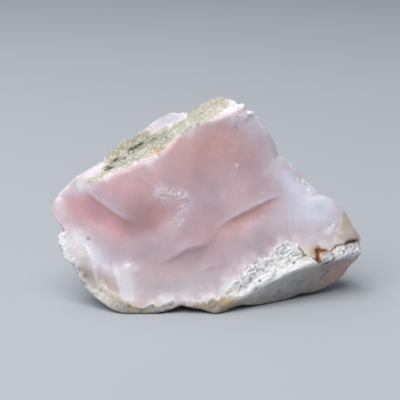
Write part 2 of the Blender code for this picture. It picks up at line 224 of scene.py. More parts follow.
form = {  # millimetres, in the axes of the broken face: across, up along it, deep into the stone
    "lean": math.radians(14.0),
    "faceMiddle": (0.0, 17.0),
    "rayCentre": np.array([0.0, 3.0, 19.0]),
    "formCentre": np.array([0.0, 0.0, 20.0]),
    "baseLevel": 0.5,  # height of the resting facet before the fit to the CAD box
    "rays": (8.0, 58.0, 0.5),  # from, to and step of the first search along each ray
    "sideLean": 0.38,  # how much the sides draw in behind the face
    "slantShare": 0.85,  # distance to a slanting side, against the distance read straight
    "rimSmoothing": {"radius": 1, "depth": 10, "wide": 28},  # half degrees to either side
    "notchDepth": (3.0, 6.0),  # notches in the rim are filled up behind it: at most, and over
    "edgeRounding": (0.6, 4.0),  # between face and side, and what the right end adds
    "crustRounding": 1.1,
    "undercutRounding": 0.6,
    "rim": [  # the outer edge of the broken face, all round
        (-37.7, 19.9, -10.3), (-36.8, 22.3, -10.0), (-33.3, 26.2, -9.0), (-25.1, 31.5, -7.5),
        (-24.4, 33.0, -7.2), (-21.0, 36.3, -6.4), (-16.4, 38.3, -5.6), (-10.4, 43.0, -3.8),
        (-8.2, 43.6, -3.0), (-6.7, 43.3, -3.5), (-3.7, 43.9, -4.5), (0.7, 46.9, -6.0),
        (3.0, 47.5, -6.2), (4.4, 48.7, -6.4), (5.6, 48.5, -6.5), (6.2, 47.7, -6.6),
        (6.5, 46.5, -6.6), (7.4, 46.3, -6.7), (7.8, 45.4, -6.8), (8.4, 45.9, -6.9),
        (9.1, 45.7, -7.0), (9.25, 43.9, -6.6), (10.5, 43.4, -6.1), (11.1, 43.8, -6.0),
        (12.2, 42.3, -6.2), (14.4, 39.7, -6.5),
        (17.5, 33.3, -6.0), (21.2, 30.6, -5.2), (23.7, 27.8, -4.5), (28.1, 23.8, -3.5),
        (30.8, 22.8, -3.0), (35.8, 18.9, -2.5), (37.2, 17.1, -2.9), (38.4, 13.7, -3.5),
        (37.9, 11.8, -4.0), (38.1, 9.8, -4.5), (36.8, 7.8, -4.7), (35.0, 6.1, -4.9),
        (34.6, 4.5, -5.0), (33.5, 3.0, -5.3), (31.6, 1.5, -5.7), (28.5, 0.3, -6.4),
        (26.0, -0.2, -7.1), (22.9, -0.2, -8.0), (11.5, -2.6, -11.8), (8.4, -2.4, -13.5),
        (6.0, -3.0, -15.0), (3.3, -4.4, -20.0), (1.5, -4.2, -19.4), (-1.2, -3.2, -18.5),
        (-6.0, -2.4, -17.3), (-14.2, -4.4, -19.8), (-16.8, -4.4, -19.8), (-19.8, -4.3, -19.5),
        (-21.3, -3.8, -18.9), (-29.5, 2.0, -15.1), (-32.5, 7.3, -13.7), (-33.9, 8.2, -13.2),
        (-35.0, 10.2, -12.5), (-35.7, 12.0, -12.0), (-35.8, 13.8, -11.5), (-34.1, 14.9, -11.9),
        (-37.2, 18.7, -10.6),
    ],
    "sections": {  # upright sections through the face: across, then up and deep
        -37.0: [(24, -9.5), (20, -10.6), (16, -11.0), (12, -11.6)],
        -33.0: [(25, -11.5), (20, -12.0), (16, -12.2), (11, -13.2)],
        -27.0: [(28, -14.6), (24, -15.0), (18, -13.6), (13, -14.4), (8, -15.6), (2, -16.0)],
        -20.5: [(31, -15.4), (26, -16.0), (21, -16.2), (15, -15.6), (10, -16.6), (4, -18.5),
                (-3, -19.8)],
        -14.8: [(33, -16.0), (28, -16.3), (24, -16.8), (20, -16.8), (15, -15.5), (10, -16.6),
                (5, -18.2), (-3, -20.0)],
        -4.0: [(40, -15.0), (34, -15.0), (28, -15.3), (22, -16.2), (16, -16.3), (10, -17.1),
               (4, -18.4), (-3, -20.0)],
        4.0: [(44, -13.8), (38, -12.9), (31, -12.8), (25, -13.3), (19, -14.4), (12, -15.8),
              (5, -17.9), (-3, -20.2)],
        10.0: [(43, -12.6), (36, -11.8), (29, -11.6), (22, -12.9), (16, -13.6), (10, -15.6),
               (4, -17.4), (-1, -18.4)],
        14.0: [(38, -10.8), (32, -10.3), (26, -10.9), (20, -12.2), (14, -13.2), (8, -15.0),
               (3, -16.8)],
        20.0: [(29, -8.6), (24, -9.0), (18, -10.3), (12, -12.0), (8, -13.4), (4, -14.9)],
        27.6: [(23, -6.8), (18.6, -7.6), (14, -8.8), (9.7, -10.4), (6, -11.8)],
        35.0: [(18, -4.6), (14, -5.4), (10, -6.6), (6, -8.2)],
        40.0: [(14, -3.0), (8, -4.6)],
    },
    "sectionEase": 4.0,
    "ledges": {  # line of the edge with its share, then height, reach above and drop below
        "main": ([(-2, 12.2, 0), (1, 13.6, 0.1), (3.4, 16.4, 0.3), (5.7, 17.9, 0.7), (8.1, 19.1, 1),
                  (10.5, 20.3, 1), (12.9, 21.5, 1), (15, 22.5, 0.7), (18, 23.6, 0.15),
                  (21, 24.6, 0)], 0.60, 4.5, 1.0),
        "hood": ([(-30.5, 25.2, 0), (-28, 24, 0.6), (-26.1, 22.4, 1), (-23.7, 20.7, 1),
                  (-22, 19.5, 1), (-20.3, 18.5, 0.9), (-18.2, 17.5, 0.5), (-16, 16.8, 0)],
                 0.62, 6.0, 1.5),
        "lower": ([(-13, 6.6, 0), (-10.6, 7.7, 0.4), (-6.2, 9.9, 0.8), (-5, 10.9, 1),
                   (-1, 11.7, 0.75), (1, 13.1, 0.3), (3, 15.5, 0)], 0.32, 3.0, 1.5),
        "lowest": ([(-3, 5.6, 0), (-0.9, 5.9, 0.8), (0.9, 6.7, 1), (2.9, 6.9, 0.8), (4.5, 7.2, 0)],
                   0.10, 2.0, 0.7),
        "chipStep": ([(-18, 28.2, 0), (-15.2, 27.1, 0.4), (-10.6, 23.9, 1), (-4.5, 22.7, 1),
                      (-2.9, 22.8, 0.5), (-1, 22.6, 0)], 0.22, 4.0, 1.0),
    },
    "hollows": {  # across, up, half sizes, turn, depth
        "underMainLedge": (10.6, 18.0, 5.0, 1.9, 24, 0.5),
        "underHood": (-24.5, 17.6, 6.5, 2.6, -28, 0.6),
        "valley": (-13.2, 17.6, 6.0, 4.0, 35, 1.0),
        "tanFacet": (-23.6, 1.8, 3.4, 1.8, -42, 0.6),
    },
    "crustAt": (-14.8, 31.5, -16.0),
    "crustSlope": (-0.55, 1.19),  # deep per mm across and per mm up
    "crustSwellings": {
        "underPeak": (-3.5, 38.5, 8.0, 5.0, -30, 3.4),
        "longBump": (-18.5, 37.0, 7.0, 2.4, 32, 2.0),
        "leftEnd": (-30.0, 26.0, 5.0, 3.0, 30, 1.5),
    },
    "planes": {  # turn from the front and rise in degrees, distance, rounding
        "back": (176, 6, 21.5, 1.5),
        "backLeft": (-131, 16, 26.6, 1.5),
        "backRight": (134, 18, 25.2, 2.0),
        "backLow": (165, -38, 24.5, 1.5),
        "backTop": (172, 55, 27.0, 1.5),
        "crestBack": (-140, 47, 26.6, 1.5),
        "shoulderBack": (128, 46, 24.0, 2.0),
        "leftLowBack": (-118, -32, 31.0, 2.0),
        "rightLowBack": (116, -36, 33.5, 2.0),
        "leftLow": (-82, -42, 34.5, 1.0),
    },
    "bowls": {  # shell-shaped breaks: middle, radius, rounding
        "upper": ((-4, 45, 44), 33.0, 1.0),
        "right": ((26, 46, 10), 34.5, 1.5),
        "left": ((-40, 32, 8), 27.0, 1.0),
    },
    "undercuts": [  # planes through three points
        ((8.0, -1.0, -18.7), (24.0, 6.4, -13.0), (22.7, -0.1, -8.5)),
        ((33.8, 8.3, -7.9), (24.0, 6.4, -13.0), (31.0, 1.4, -6.0)),
    ],
    "lumps": ((6.0, 0.45), (2.6, 0.22)),  # size and height
    "crustLump": (3.6, 0.45),
}
cosLean, sinLean = math.cos(form["lean"]), math.sin(form["lean"])
gridStep = 0.2  # mm
gridAcross = np.arange(-46.0, 46.0, gridStep)
gridUp = np.arange(-12.0, 56.0, gridStep)


def toFace(points):
    # stone axes to across, up, deep
    up = cosLean * points[:, 2] + sinLean * points[:, 1]
    deep = cosLean * points[:, 1] - sinLean * points[:, 2]
    return points[:, 0], up, deep


def toStone(across, up, deep):
    return np.array([across, sinLean * up + cosLean * deep, cosLean * up - sinLean * deep])


def sheetBend(squares):
    return 0.5 * squares * np.log(squares + 1e-9)


def bentSheet(sections, ease):
    # a thin bent sheet through the section points, worked out on the grid
    points = np.array([(a, u, d) for a, row in sections.items() for u, d in row], float)
    count = len(points)
    squares = ((points[:, None, :2] - points[None, :, :2]) ** 2).sum(axis=2)
    matrix = np.zeros((count + 3, count + 3))
    matrix[:count, :count] = sheetBend(squares) + np.eye(count) * ease
    matrix[:count, count] = 1.0
    matrix[:count, count + 1:] = points[:, :2]
    matrix[count:, :count] = matrix[:count, count:].T
    weights = np.linalg.solve(matrix, np.append(points[:, 2], [0.0, 0.0, 0.0]))
    across, up = np.meshgrid(gridAcross, gridUp)
    deep = weights[count] + weights[count + 1] * across + weights[count + 2] * up
    for weight, point in zip(weights, points):
        deep = deep + weight * sheetBend((across - point[0]) ** 2 + (up - point[1]) ** 2)
    return deep


def ledgeHeight(across, up, line, height, reach, drop):
    line = np.array(line, float)
    share = np.interp(across, line[:, 0], line[:, 2])
    share = share * share * (3.0 - 2.0 * share)
    over = up - np.interp(across, line[:, 0], line[:, 1])
    below = unit(1.0 + over / drop) ** 1.5
    return height * share * np.where(over > 0.0, fading(over, reach), below)


def makeFaceGrids():
    across, up = np.meshgrid(gridAcross, gridUp)
    face = bentSheet(form["sections"], form["sectionEase"])
    for ledge in form["ledges"].values():
        face = face - ledgeHeight(across, up, *ledge)
    for *oval, depth in form["hollows"].values():
        face = face + depth * swelling(across, up, *oval)
    at, slope = form["crustAt"], form["crustSlope"]
    crust = at[2] + slope[1] * (up - at[1]) + slope[0] * (across - at[0])
    for *oval, height in form["crustSwellings"].values():
        crust = crust - height * swelling(across, up, *oval)
    return face, crust


def readGrid(grid, across, up):
    i = np.clip((across - gridAcross[0]) / gridStep, 0.0, grid.shape[1] - 1.001)
    j = np.clip((up - gridUp[0]) / gridStep, 0.0, grid.shape[0] - 1.001)
    a, b = i.astype(int), j.astype(int)
    u, v = i - a, j - b
    low = grid[b, a] * (1.0 - u) + grid[b, a + 1] * u
    high = grid[b + 1, a] * (1.0 - u) + grid[b + 1, a + 1] * u
    return low * (1.0 - v) + high * v


def makeRim():
    rim = np.array(form["rim"])
    across = rim[:, 0] - form["faceMiddle"][0]
    up = rim[:, 1] - form["faceMiddle"][1]
    bearing = np.arctan2(up, across)
    order = np.argsort(bearing)
    even = np.linspace(-math.pi, math.pi, 721)  # every half degree
    radius = np.interp(even, bearing[order], np.hypot(across, up)[order], period=math.tau)
    depth = np.interp(even, bearing[order], rim[order, 2], period=math.tau)

    def smooth(values, half):
        window = np.hanning(2 * half + 3)[1:-1]
        around = np.concatenate([values[-half - 1:-1], values, values[1:half + 1]])
        return np.convolve(around, window / window.sum(), "valid")

    half = form["rimSmoothing"]
    return {"bearing": even, "radius": smooth(radius, half["radius"]),
            "depth": smooth(depth, half["depth"]), "wide": smooth(radius, half["wide"])}


def facing(turn, rise):
    turn, rise = math.radians(turn), math.radians(rise)
    level = math.cos(rise)
    return np.array([math.sin(turn) * level, -math.cos(turn) * level, math.sin(rise)])


def planeThrough(points):
    a, b, c = [toStone(*p) for p in points]
    normal = np.cross(b - a, c - a)
    normal = normal / np.linalg.norm(normal)
    distance = normal @ (a - form["formCentre"])
    return (normal, distance) if distance > 0.0 else (-normal, -distance)


faceGrid, crustGrid = makeFaceGrids()
rimTable = makeRim()
cutPlanes = [(facing(t, r), d, s) for t, r, d, s in form["planes"].values()]
underPlanes = [planeThrough(points) for points in form["undercuts"]]


def outside(points):
    # how far each point is outside the stone, in mm, negative inside
    across, up, deep = toFace(points)
    fromCentre = points - form["formCentre"]
    far = form["baseLevel"] - points[:, 2]
    for normal, distance, rounding in cutPlanes:
        far = softMax(far, fromCentre @ normal - distance, rounding)
    for centre, radius, rounding in form["bowls"].values():
        far = softMax(far, radius - np.linalg.norm(points - np.array(centre), axis=1), rounding)
    rounding, extra = form["edgeRounding"]
    softness = rounding + extra * softStep(across - 17.0, 8.0) * softStep(up - 10.0, 3.0)
    middle = form["faceMiddle"]
    bearing = np.arctan2(up - middle[1], across - middle[0])
    radius = np.interp(bearing, rimTable["bearing"], rimTable["radius"])
    filled, over = form["notchDepth"]
    wide = np.minimum(np.interp(bearing, rimTable["bearing"], rimTable["wide"]), radius + filled)
    rimDepth = np.interp(bearing, rimTable["bearing"], rimTable["depth"])
    behind = np.clip(deep - rimDepth - 0.8 * softness, 0.0, None)
    radius = radius + (wide - radius) * unit(behind / over)
    out = np.hypot(across - middle[0], up - middle[1]) - radius
    leanIn = form["sideLean"] * softStep(np.sin(bearing) + 0.62, 0.3)  # not underneath
    far = softMax(far, form["slantShare"] * out + leanIn * behind, 0.5)
    # behind the rim the sides are lumpy, less so close to the resting facet
    rough = unit((behind - 0.5) / 3.0) * unit((points[:, 2] - form["baseLevel"]) / 1.5)
    for seed, (size, height) in enumerate(form["lumps"], 1):
        far = far + height * rough * lumpNoise(points, size, seed)
    face = readGrid(faceGrid, across, up)
    crust = readGrid(crustGrid, across, up)
    size, height = form["crustLump"]
    crust = crust + height * unit((crust - face) / 1.5) * lumpNoise(points, size, 5)
    front = softMax(face, crust, form["crustRounding"])
    far = softMax(far, form["slantShare"] * (front - deep), softness)
    for normal, distance in underPlanes:
        far = softMax(far, fromCentre @ normal - distance, form["undercutRounding"])
    return far


def firstReach(directions):
    # where each ray from the middle first leaves the stone
    first, last, step = form["rays"]
    steps = np.arange(first, last, step)
    reach = np.full(len(directions), steps[-1])
    going = np.ones(len(directions), bool)
    for length in steps:
        rays = np.flatnonzero(going)
        out = outside(form["rayCentre"] + length * directions[rays]) > 0.0
        reach[rays[out]] = length
        going[rays[out]] = False
    return surfaceNear(directions, reach - 0.5 * step, 0.6 * step)


def surfaceNear(directions, start, search):
    # moves each point along its ray onto the surface, from a start within the search distance
    inner, outer = start - search, start + search
    for halving in range(10):
        middle = 0.5 * (inner + outer)
        out = outside(form["rayCentre"] + middle[:, None] * directions) > 0.0
        outer = np.where(out, middle, outer)
        inner = np.where(out, inner, middle)
    return 0.5 * (inner + outer)


def unitLength(vectors):
    return vectors / np.linalg.norm(vectors, axis=1)[:, None]


def readPoints(mesh):
    points = np.empty(len(mesh.vertices) * 3)
    mesh.vertices.foreach_get("co", points)
    return points.reshape(-1, 3)


def readEdges(mesh):
    ends = np.empty(len(mesh.edges) * 2, np.int64)
    mesh.edges.foreach_get("vertices", ends)
    return ends.reshape(-1, 2)


def readTriangles(mesh):
    corners = np.empty(len(mesh.polygons) * 3, np.int64)
    mesh.polygons.foreach_get("vertices", corners)
    return corners.reshape(-1, 3)


def pointNormals(points, triangles):
    a, b, c = (points[triangles[:, k]] for k in range(3))
    across = np.cross(b - a, c - a)
    normals = np.zeros_like(points)
    for k in range(3):
        np.add.at(normals, triangles[:, k], across)
    return normals / np.maximum(np.linalg.norm(normals, axis=1), 1e-12)[:, None]


zones = {  # lines in mm on the broken face, across and up: borders, cracks, chips and streaks
    "crustEdge": [(-40, 30), (-34, 26.4), (-28.6, 26.2), (-27.1, 26.3), (-25.9, 27.1),
                  (-24, 28.1), (-22.1, 29.2), (-20.6, 29.8), (-18.2, 30.6), (-15.8, 31.9),
                  (-13.4, 32.8), (-10.8, 33.7), (-9.4, 35.0), (-8.2, 36.5), (-6.2, 37.9),
                  (-3.9, 39.1), (-1.2, 40.4), (1.4, 41.8), (3.1, 42.9), (4.3, 43.9), (5.3, 44.9),
                  (6, 46.4), (6.8, 48), (9, 60)],
    "crustEnd": [(-40, 20), (-34, 24.5), (-29.8, 26.9), (-27.4, 28.2), (-25.6, 29.3),
                 (-24.7, 30.6), (-24.3, 33), (-23.9, 60)],
    "knobEdge": [(-30, 60), (-16, 41), (-14.2, 38), (-11.8, 38.7), (-9, 40.1), (-7, 41.3),
                 (-5.4, 43.2), (0, 60)],
    "rindTop": [(1.6, -9), (2.4, -1.4), (3.6, 0.4), (5.4, 2.4), (6.2, 3.8), (7.4, 4.8),
                (9.2, 5.9), (11, 7.6), (13, 8.3), (14.6, 9.2), (16.2, 10), (17.2, 11), (18.6, 11.7),
                (20.4, 12.1), (21.6, 12), (22.7, 11.1), (23.4, 9.6), (25.4, 8.6), (26.8, 7.7),
                (27.2, 8.2), (27.5, 9.8), (30.2, 9.7), (30.8, 10.6), (31.4, 11.2), (33.3, 11.4),
                (34.5, 11.9), (36.4, 12.3), (42, 12.8)],
    "rindRidge": [(1, -3.6), (3.7, -2.7), (5.2, -2.1), (8, -0.9), (11.4, 1.1), (14.7, 3),
                  (19.9, 5.3), (23, 6.4), (27.8, 7.3), (32.6, 8.2), (37.2, 9.5)],
    "leftRim": [(-40, 15.2), (-35.7, 14.5), (-33.6, 14.2), (-31.9, 13.6), (-30.2, 12.2),
                (-28.6, 10.2), (-27.4, 8), (-27, 5.6), (-26.7, 4.2), (-25.4, 2.3), (-23.5, 0.9),
                (-21.1, -0.1), (-19.4, -1.2), (-17, -2), (-14.6, -2.6), (-9.5, -2.1), (-6, -1.5),
                (-2.6, -2.2), (-0.5, -1.5), (1.5, -1.1), (4, -1.0)],
    "darkStreak": [(-24.6, 30.4), (-22.7, 31.6), (-20.7, 32.9), (-18.8, 34.3), (-16.7, 35.6),
                   (-14.3, 36.5), (-12.6, 37.6)],
    "lowStreak": [(-24.2, 29.3), (-22.4, 30.3), (-20.9, 31.6), (-19.3, 32.5)],
    "crackLow": [(22.4, 10.9), (23.5, 9.3), (25.4, 8.6), (27.3, 7.4)],
    "crackHigh": [(26.4, 10.4), (28.3, 10.2), (30.2, 9.8), (30.8, 10.7), (31.4, 11.3),
                  (33.3, 11.5), (34.5, 12), (36.4, 12.4), (38.4, 12.6)],
    "crackRust": [(26.6, 10.3), (26.75, 9), (27, 7.8)],
    "pathOfChips": [(-11.6, 24.4), (-10, 23.8), (-8.6, 23.2), (-6, 22.8), (-3.8, 22)],
    "lowChips": [(-9.1, 15.2), (-8, 16.4), (-7.2, 17.3), (-5.5, 19.4), (-4.8, 21.1)],
    "paleSeam": [(-19.9, -1.2), (-20.6, 0.5), (-21.4, 2.6), (-22, 5), (-22.6, 6.4)],
    "tanTip": [(31.2, 12.7), (32.1, 14.4), (32.4, 16.3), (33.1, 19.2), (34.4, 21.5)],
    "peakGroove": [(7.7, 45.6), (8, 43.4), (7.5, 41.4), (7.2, 39.9)],
    "edgeChips": [(22.4, 27.6), (23.6, 26.7), (24.6, 25.7), (25.4, 24.7), (26.2, 23.9)],
    "tipChips": [(29.2, 15.0), (30.4, 15.6), (31.4, 16.6)],
}

scratches = [  # thin white lines where the opal was struck
    [(-20.6, 5.9), (-19.2, 6.8), (-17.2, 7.5)], [(-12.8, -1.5), (-11.8, -0.8), (-10.6, 0)],
    [(-24.6, 5.2), (-23.4, 4.6), (-22.1, 4.9)],
]
hairCracks = [  # thin dark lines on the rind's underside and its right end
    [(27.8, 6.9), (29.2, 7.1), (30.5, 7.9), (30.9, 9.2)], [(27.3, 5.0), (28.3, 5.5), (29.6, 5.2)],
    [(28.9, 4.5), (28.3, 4.1), (27.9, 3.3)], [(22.6, 2.8), (23.6, 3.0), (24.5, 2.7)],
    [(34, 8.6), (34.6, 9.7), (35.4, 10.4)], [(32.6, 9.0), (33.1, 9.3)], [(19.2, 2.8), (19.7, 2.9)],
    [(27.4, 1.9), (27.7, 1.7)], [(31.6, 10.2), (32.6, 9.9)],
]
patches = {  # soft patches of colour on the front: across, up, half sizes, turn, strength
    # the warm ovals under the ledges, the hood and in the valley are painted warm shade, and the
    # two at the top of the plate are partly painted shade; the rest are the opal's own tone
    "warm": [(3.4, 36.6, 9.0, 4.2, -4, 0.8), (-5.0, 33.0, 7.0, 4.6, 10, 0.55),
             (-28.8, 20.8, 4.0, 2.6, -30, 1.1), (-22.8, 17.8, 6.5, 2.4, -27, 0.25),
             (-12.8, 17.2, 5.0, 4.2, 30, 0.5), (-15.6, 14.2, 4.5, 3.0, -40, 0.2),
             (10.4, 18.6, 5.0, 1.8, 24, 0.4), (3.0, 15.0, 6.0, 2.4, 24, 0.25),
             (-4.0, 9.6, 7.0, 1.8, 14, 0.2), (-18.0, 26.6, 7.0, 3.6, 16, 0.15),
             (16.0, 14.5, 8.0, 4.0, 30, 0.25), (17.0, 28.5, 3.0, 4.0, 0, 0.25),
             (31.9, 4.9, 3.0, 1.6, 30, 0.5), (-33.0, 18.0, 4.0, 5.0, 0, 0.15)],
    "pale": [(27.5, 20.6, 8.5, 6.4, -30, 0.95), (21.5, 26.4, 6.0, 3.2, -42, 0.55),
             (20.8, 29.6, 1.5, 3.0, -40, 0.4), (2.0, 23.5, 7.0, 3.6, 20, 0.12),
             (-28.4, 20.4, 3.0, 2.0, -30, 0.1), (12.0, 40.4, 5.0, 4.0, 20, 0.6),
             (16.0, 33.0, 3.0, 7.5, 12, 0.5), (6.6, 43.6, 4.0, 2.4, 0, 0.6),
             (-9.6, 42.2, 5.0, 3.4, 20, 0.7), (-25.8, 8.8, 8.0, 2.6, -40, 0.85),
             (-18.6, 1.6, 1.6, 5.0, -8, 0.7), (-23.0, 21.6, 4.6, 1.6, -34, 0.15),
             (-23.5, 23.8, 4.0, 2.2, -20, 0.05), (-35.4, 20.0, 1.6, 4.0, 0, 0.5),
             (-13.2, 30.8, 4.6, 1.6, 24, 0.2), (-31.0, 25.0, 4.6, 1.4, 14, 0.5),
             (-28.4, 28.4, 5.0, 1.5, 32, 0.45), (-28.6, 11.0, 3.4, 4.6, 35, 0.6),
             (19.0, 17.6, 9.0, 4.4, 20, 0.4), (25.2, 12.0, 3.4, 2.0, 10, 0.45),
             (-6.0, 2.0, 14.0, 3.6, 0, 0.4)],
    # the rose ovals under the hood and around the valley are painted warm shade; the rest are the
    # opal's own tone
    "rose": [(-28.0, 20.4, 5.0, 3.0, -30, 0.35), (-23.6, 17.4, 6.5, 2.8, -28, 0.7),
             (-13.4, 17.2, 4.6, 4.6, 30, 0.6), (-17.0, 13.8, 5.0, 2.6, -20, 0.5),
             (-19.0, 25.6, 7.0, 3.2, 14, 0.5), (-33.4, 18.0, 3.4, 4.4, 0, 0.4),
             (-3.0, 15.0, 3.0, 5.0, 20, 0.15)],
    "lilac": [(-28.0, 28.6, 5.0, 1.6, 32, 0.15), (-6.0, 1.6, 12.0, 3.4, 0, 0.95),
              (12.6, 11.0, 6.0, 3.0, 24, 0.3), (-14.0, 10.6, 8.0, 3.4, 10, 0.7),
              (2.0, 23.5, 7.0, 3.6, 20, 0.05), (12.0, 13.8, 5.0, 2.6, 24, 0.3),
              (3.0, 8.0, 6.0, 3.0, 30, 0.3), (-23.0, 9.5, 4.0, 2.0, -30, 0.3)],
    # painted mauve shade on the lower front, under the lower ledges and in the valley
    "dusk": [(-4.0, 9.0, 10.0, 3.0, 12, 0.3), (-2.4, 10.0, 6.0, 1.7, 14, 0.6),
             (-15.4, 14.2, 5.0, 3.0, 20, 0.45), (-27.0, 13.6, 6.0, 2.6, -30, 0.5),
             (-14.0, 10.0, 6.0, 3.6, 0, 0.55), (14.0, 10.6, 7.0, 2.4, 24, 0.3),
             (-8.0, 5.0, 12.0, 3.0, 4, 0.2)],
    "yellow": [(-16.0, -3.6, 3.6, 1.0, -4, 1.1), (25.0, 10.0, 2.6, 1.3, -10, 1.1),
               (30.6, 11.9, 2.2, 0.6, 20, 0.7)],
}
spots = {  # small round spots: across, up, radius, strength
    # the first spot here is a painted highlight; the others whiten bruised places and chips
    "bruise": [(7.2, 30.7, 0.45, 1.0), (6.6, 28.8, 0.5, 0.3), (14.4, 28.7, 0.8, 0.3),
               (29.6, 15.1, 0.8, 1.0), (30.9, 15.9, 0.6, 1.0), (28.4, 14.8, 0.5, 0.5),
               (31.0, 13.0, 0.7, 0.6), (-24.0, 6.6, 0.9, 0.8), (-21.8, 5.6, 0.8, 0.9),
               (-18.9, 6.9, 1.0, 0.5), (-13.6, 30.9, 0.8, 0.5), (-17.0, 31.0, 0.5, 0.6),
               (-10.2, -1.0, 1.3, 0.5), (-12.8, -1.8, 0.9, 0.5), (33.0, 17.6, 0.4, 0.7),
               (32.8, 14.6, 0.4, 0.6), (27.6, 11.8, 1.0, 0.5), (31.0, 12.0, 0.8, 0.4),
               (-26.6, 6.9, 0.5, 0.5), (-16.8, 6.4, 0.8, 0.4), (3.8, 23.0, 0.6, 0.25),
               (8.6, 24.6, 0.5, 0.2), (13.6, 24.2, 0.7, 0.25), (-33.6, 25.2, 0.9, 0.7),
               (-30.2, 26.0, 0.9, 0.7), (-35.6, 22.8, 0.8, 0.8)],
    "dark": [(20.9, 7.4, 0.28, 1.0), (12.6, 3.2, 0.28, 1.0), (-28.3, 13.2, 0.35, 0.8)],
    "rust": [(7.3, 39.8, 0.3, 0.5)],
}
edgeSizes = {  # mm between the mesh's points
    "hidden": 0.56, "broken": 0.40, "rough": 0.24, "fine": 0.19, "crack": 0.15,
}
chipLines = ("pathOfChips", "lowChips")
rimChipLines = ("edgeChips", "tipChips")
crackWidths = {"crackLow": 0.16, "crackHigh": 0.2, "crackRust": 0.2}  # half widths in mm
nowhere = -9.0  # score of a surface that has no claim


def aboveLine(across, up, line):
    line = np.array(line, float)
    return up - np.interp(across, line[:, 0], line[:, 1])


def rightOfLine(across, up, line):
    line = np.array(line, float)
    return across - np.interp(up, line[:, 1], line[:, 0])


def nearestOf(across, up, names):
    return np.min([nearLine(across, up, zones[name])[0] for name in names], axis=0)


def readZones(points):
    # for each point, how strongly each surface claims it, and where on the stone it lies
    across, up, deep = toFace(points)
    high = points[:, 2]
    middle = form["faceMiddle"]
    bearing = np.arctan2(up - middle[1], across - middle[0])
    behind = deep - np.interp(bearing, rimTable["bearing"], rimTable["depth"])
    inward = np.interp(bearing, rimTable["bearing"], rimTable["radius"])
    inward = inward - np.hypot(across - middle[0], up - middle[1])
    face = readGrid(faceGrid, across, up)
    under = np.max([(points - form["formCentre"]) @ n - d for n, d in underPlanes], axis=0)
    back = softStep(behind - 1.2, 0.6) * softStep(np.abs(face - deep) - 1.2, 0.4)
    back = back * (1.0 - softStep(under + 0.7, 0.3) * softStep(across, 2.0))

    # the borders on the broken face: a soft wander, finer crumbs close to the line
    ragged = 0.7 * lumpNoise(points, 2.2, 11) + 0.45 * lumpNoise(points, 0.8, 12)
    wide = lumpNoise(points, 10.0, 13) + 0.3 * lumpNoise(points, 3.4, 14)
    crumbs = 1.5 * (grainNoise(points, 0.7, 15)[2] - 0.5)
    upperRight = softStep(across + 8.0, 4.0)  # here the crust's border is calm
    crustFront = aboveLine(across, up, zones["crustEdge"])
    wander = 0.7 * ragged + crumbs * bell(crustFront, 1.3)
    crustFront = crustFront + (1.0 - 0.6 * upperRight) * wander
    sway = 2.2 * wide * softStep(up - 33.5, 1.5)
    beforeEnd = 0.9 * ragged - aboveLine(across + sway, up, zones["crustEnd"])
    crustFront = np.minimum(crustFront, beforeEnd)
    rindFront = -aboveLine(across, up, zones["rindTop"])
    rindFront = rindFront + 0.8 * ragged + crumbs * bell(rindFront, 1.0)
    rimFront = 0.9 * ragged - aboveLine(across, up, zones["leftRim"])
    rindFront = np.maximum(np.where(across < 0.0, nowhere, rindFront),
                           np.where(across < 3.0, rimFront, nowhere))

    # behind, crust, rind and broken opal share the stone out by wide noise, bowls and bearings
    degrees = np.degrees(bearing)
    topLeft = softStep(degrees - 84.0, 6.0) * (1.0 - softStep(degrees - 163.0, 6.0))
    right = softStep(degrees + 14.0, 6.0) * (1.0 - softStep(degrees - 88.0, 8.0))
    bowl = np.min([np.abs(np.linalg.norm(points - np.array(c), axis=1) - r)
                   for c, r, _ in form["bowls"].values()], axis=0)
    besideKnob = bell(across + 10.5 + 2.4 * wide, 4.6 + 0.4 * behind) * softStep(high - 31.0, 3.0)
    opalBack = 2.4 * np.exp(-bowl / 0.7) + 3.0 * right * np.exp(-behind / 6.0) + 0.7 * ragged
    opalBack = opalBack + 3.6 * besideKnob * (1.0 + 0.6 * ragged + 0.5 * wide)
    crustBack = 1.3 * wide + 3.0 * topLeft * np.exp(-behind / 9.0) + 0.05 * (high - 24.0) - right
    rindBack = 0.5 - 0.8 * wide + 0.07 * (16.0 - high) + 0.3 * ragged
    crust = crustFront + (crustBack - opalBack - crustFront) * back
    rind = rindFront + (rindBack - opalBack - rindFront) * back
    sway = 1.6 * lumpNoise(points, 3.6, 16)
    knob = aboveLine(across + sway, up, zones["knobEdge"]) + 0.8 * ragged  # opal, bare of crust
    atKnob = (across > -15.5) & (across < -4.8)
    crust = np.where(atKnob, np.minimum(crust, -1.5 * knob), crust)
    isCrust = softStep(crust - np.maximum(rind, 0.0), 0.5)
    isRind = softStep(rind - np.maximum(crust, 0.0), 0.5)
    return {"points": points, "across": across, "up": up, "deep": deep, "inward": inward,
            "front": 1.0 - back, "back": back, "crust": crust, "rind": rind, "ragged": ragged,
            "wide": wide, "right": right, "upperRight": upperRight, "isCrust": isCrust,
            "isRind": isRind, "isOpal": 1.0 - np.maximum(isCrust, isRind)}


def wantedEdge(points):
    # how fine the mesh is at each point
    zone = readZones(points)
    across, up, front = zone["across"], zone["up"], zone["front"]
    size = edgeSizes["hidden"] + (edgeSizes["broken"] - edgeSizes["hidden"]) * front
    chips = nearestOf(across, up, chipLines + rimChipLines)
    rough = [zone["crust"] + 1.0, zone["rind"] + 1.0, 2.2 - chips, 1.8 - zone["inward"]]
    size = size + (edgeSizes["rough"] - size) * unit(np.max(rough, axis=0)) * front
    overRidge = aboveLine(across, up, zones["rindRidge"]) > -0.8
    band = (zone["rind"] > -0.4) & (across > 3.0) & overRidge
    size = np.where(band & (front > 0.5), edgeSizes["fine"], size)
    crack = nearestOf(across, up, crackWidths)
    return np.where((crack < 0.7) & (front > 0.5), edgeSizes["crack"], size)


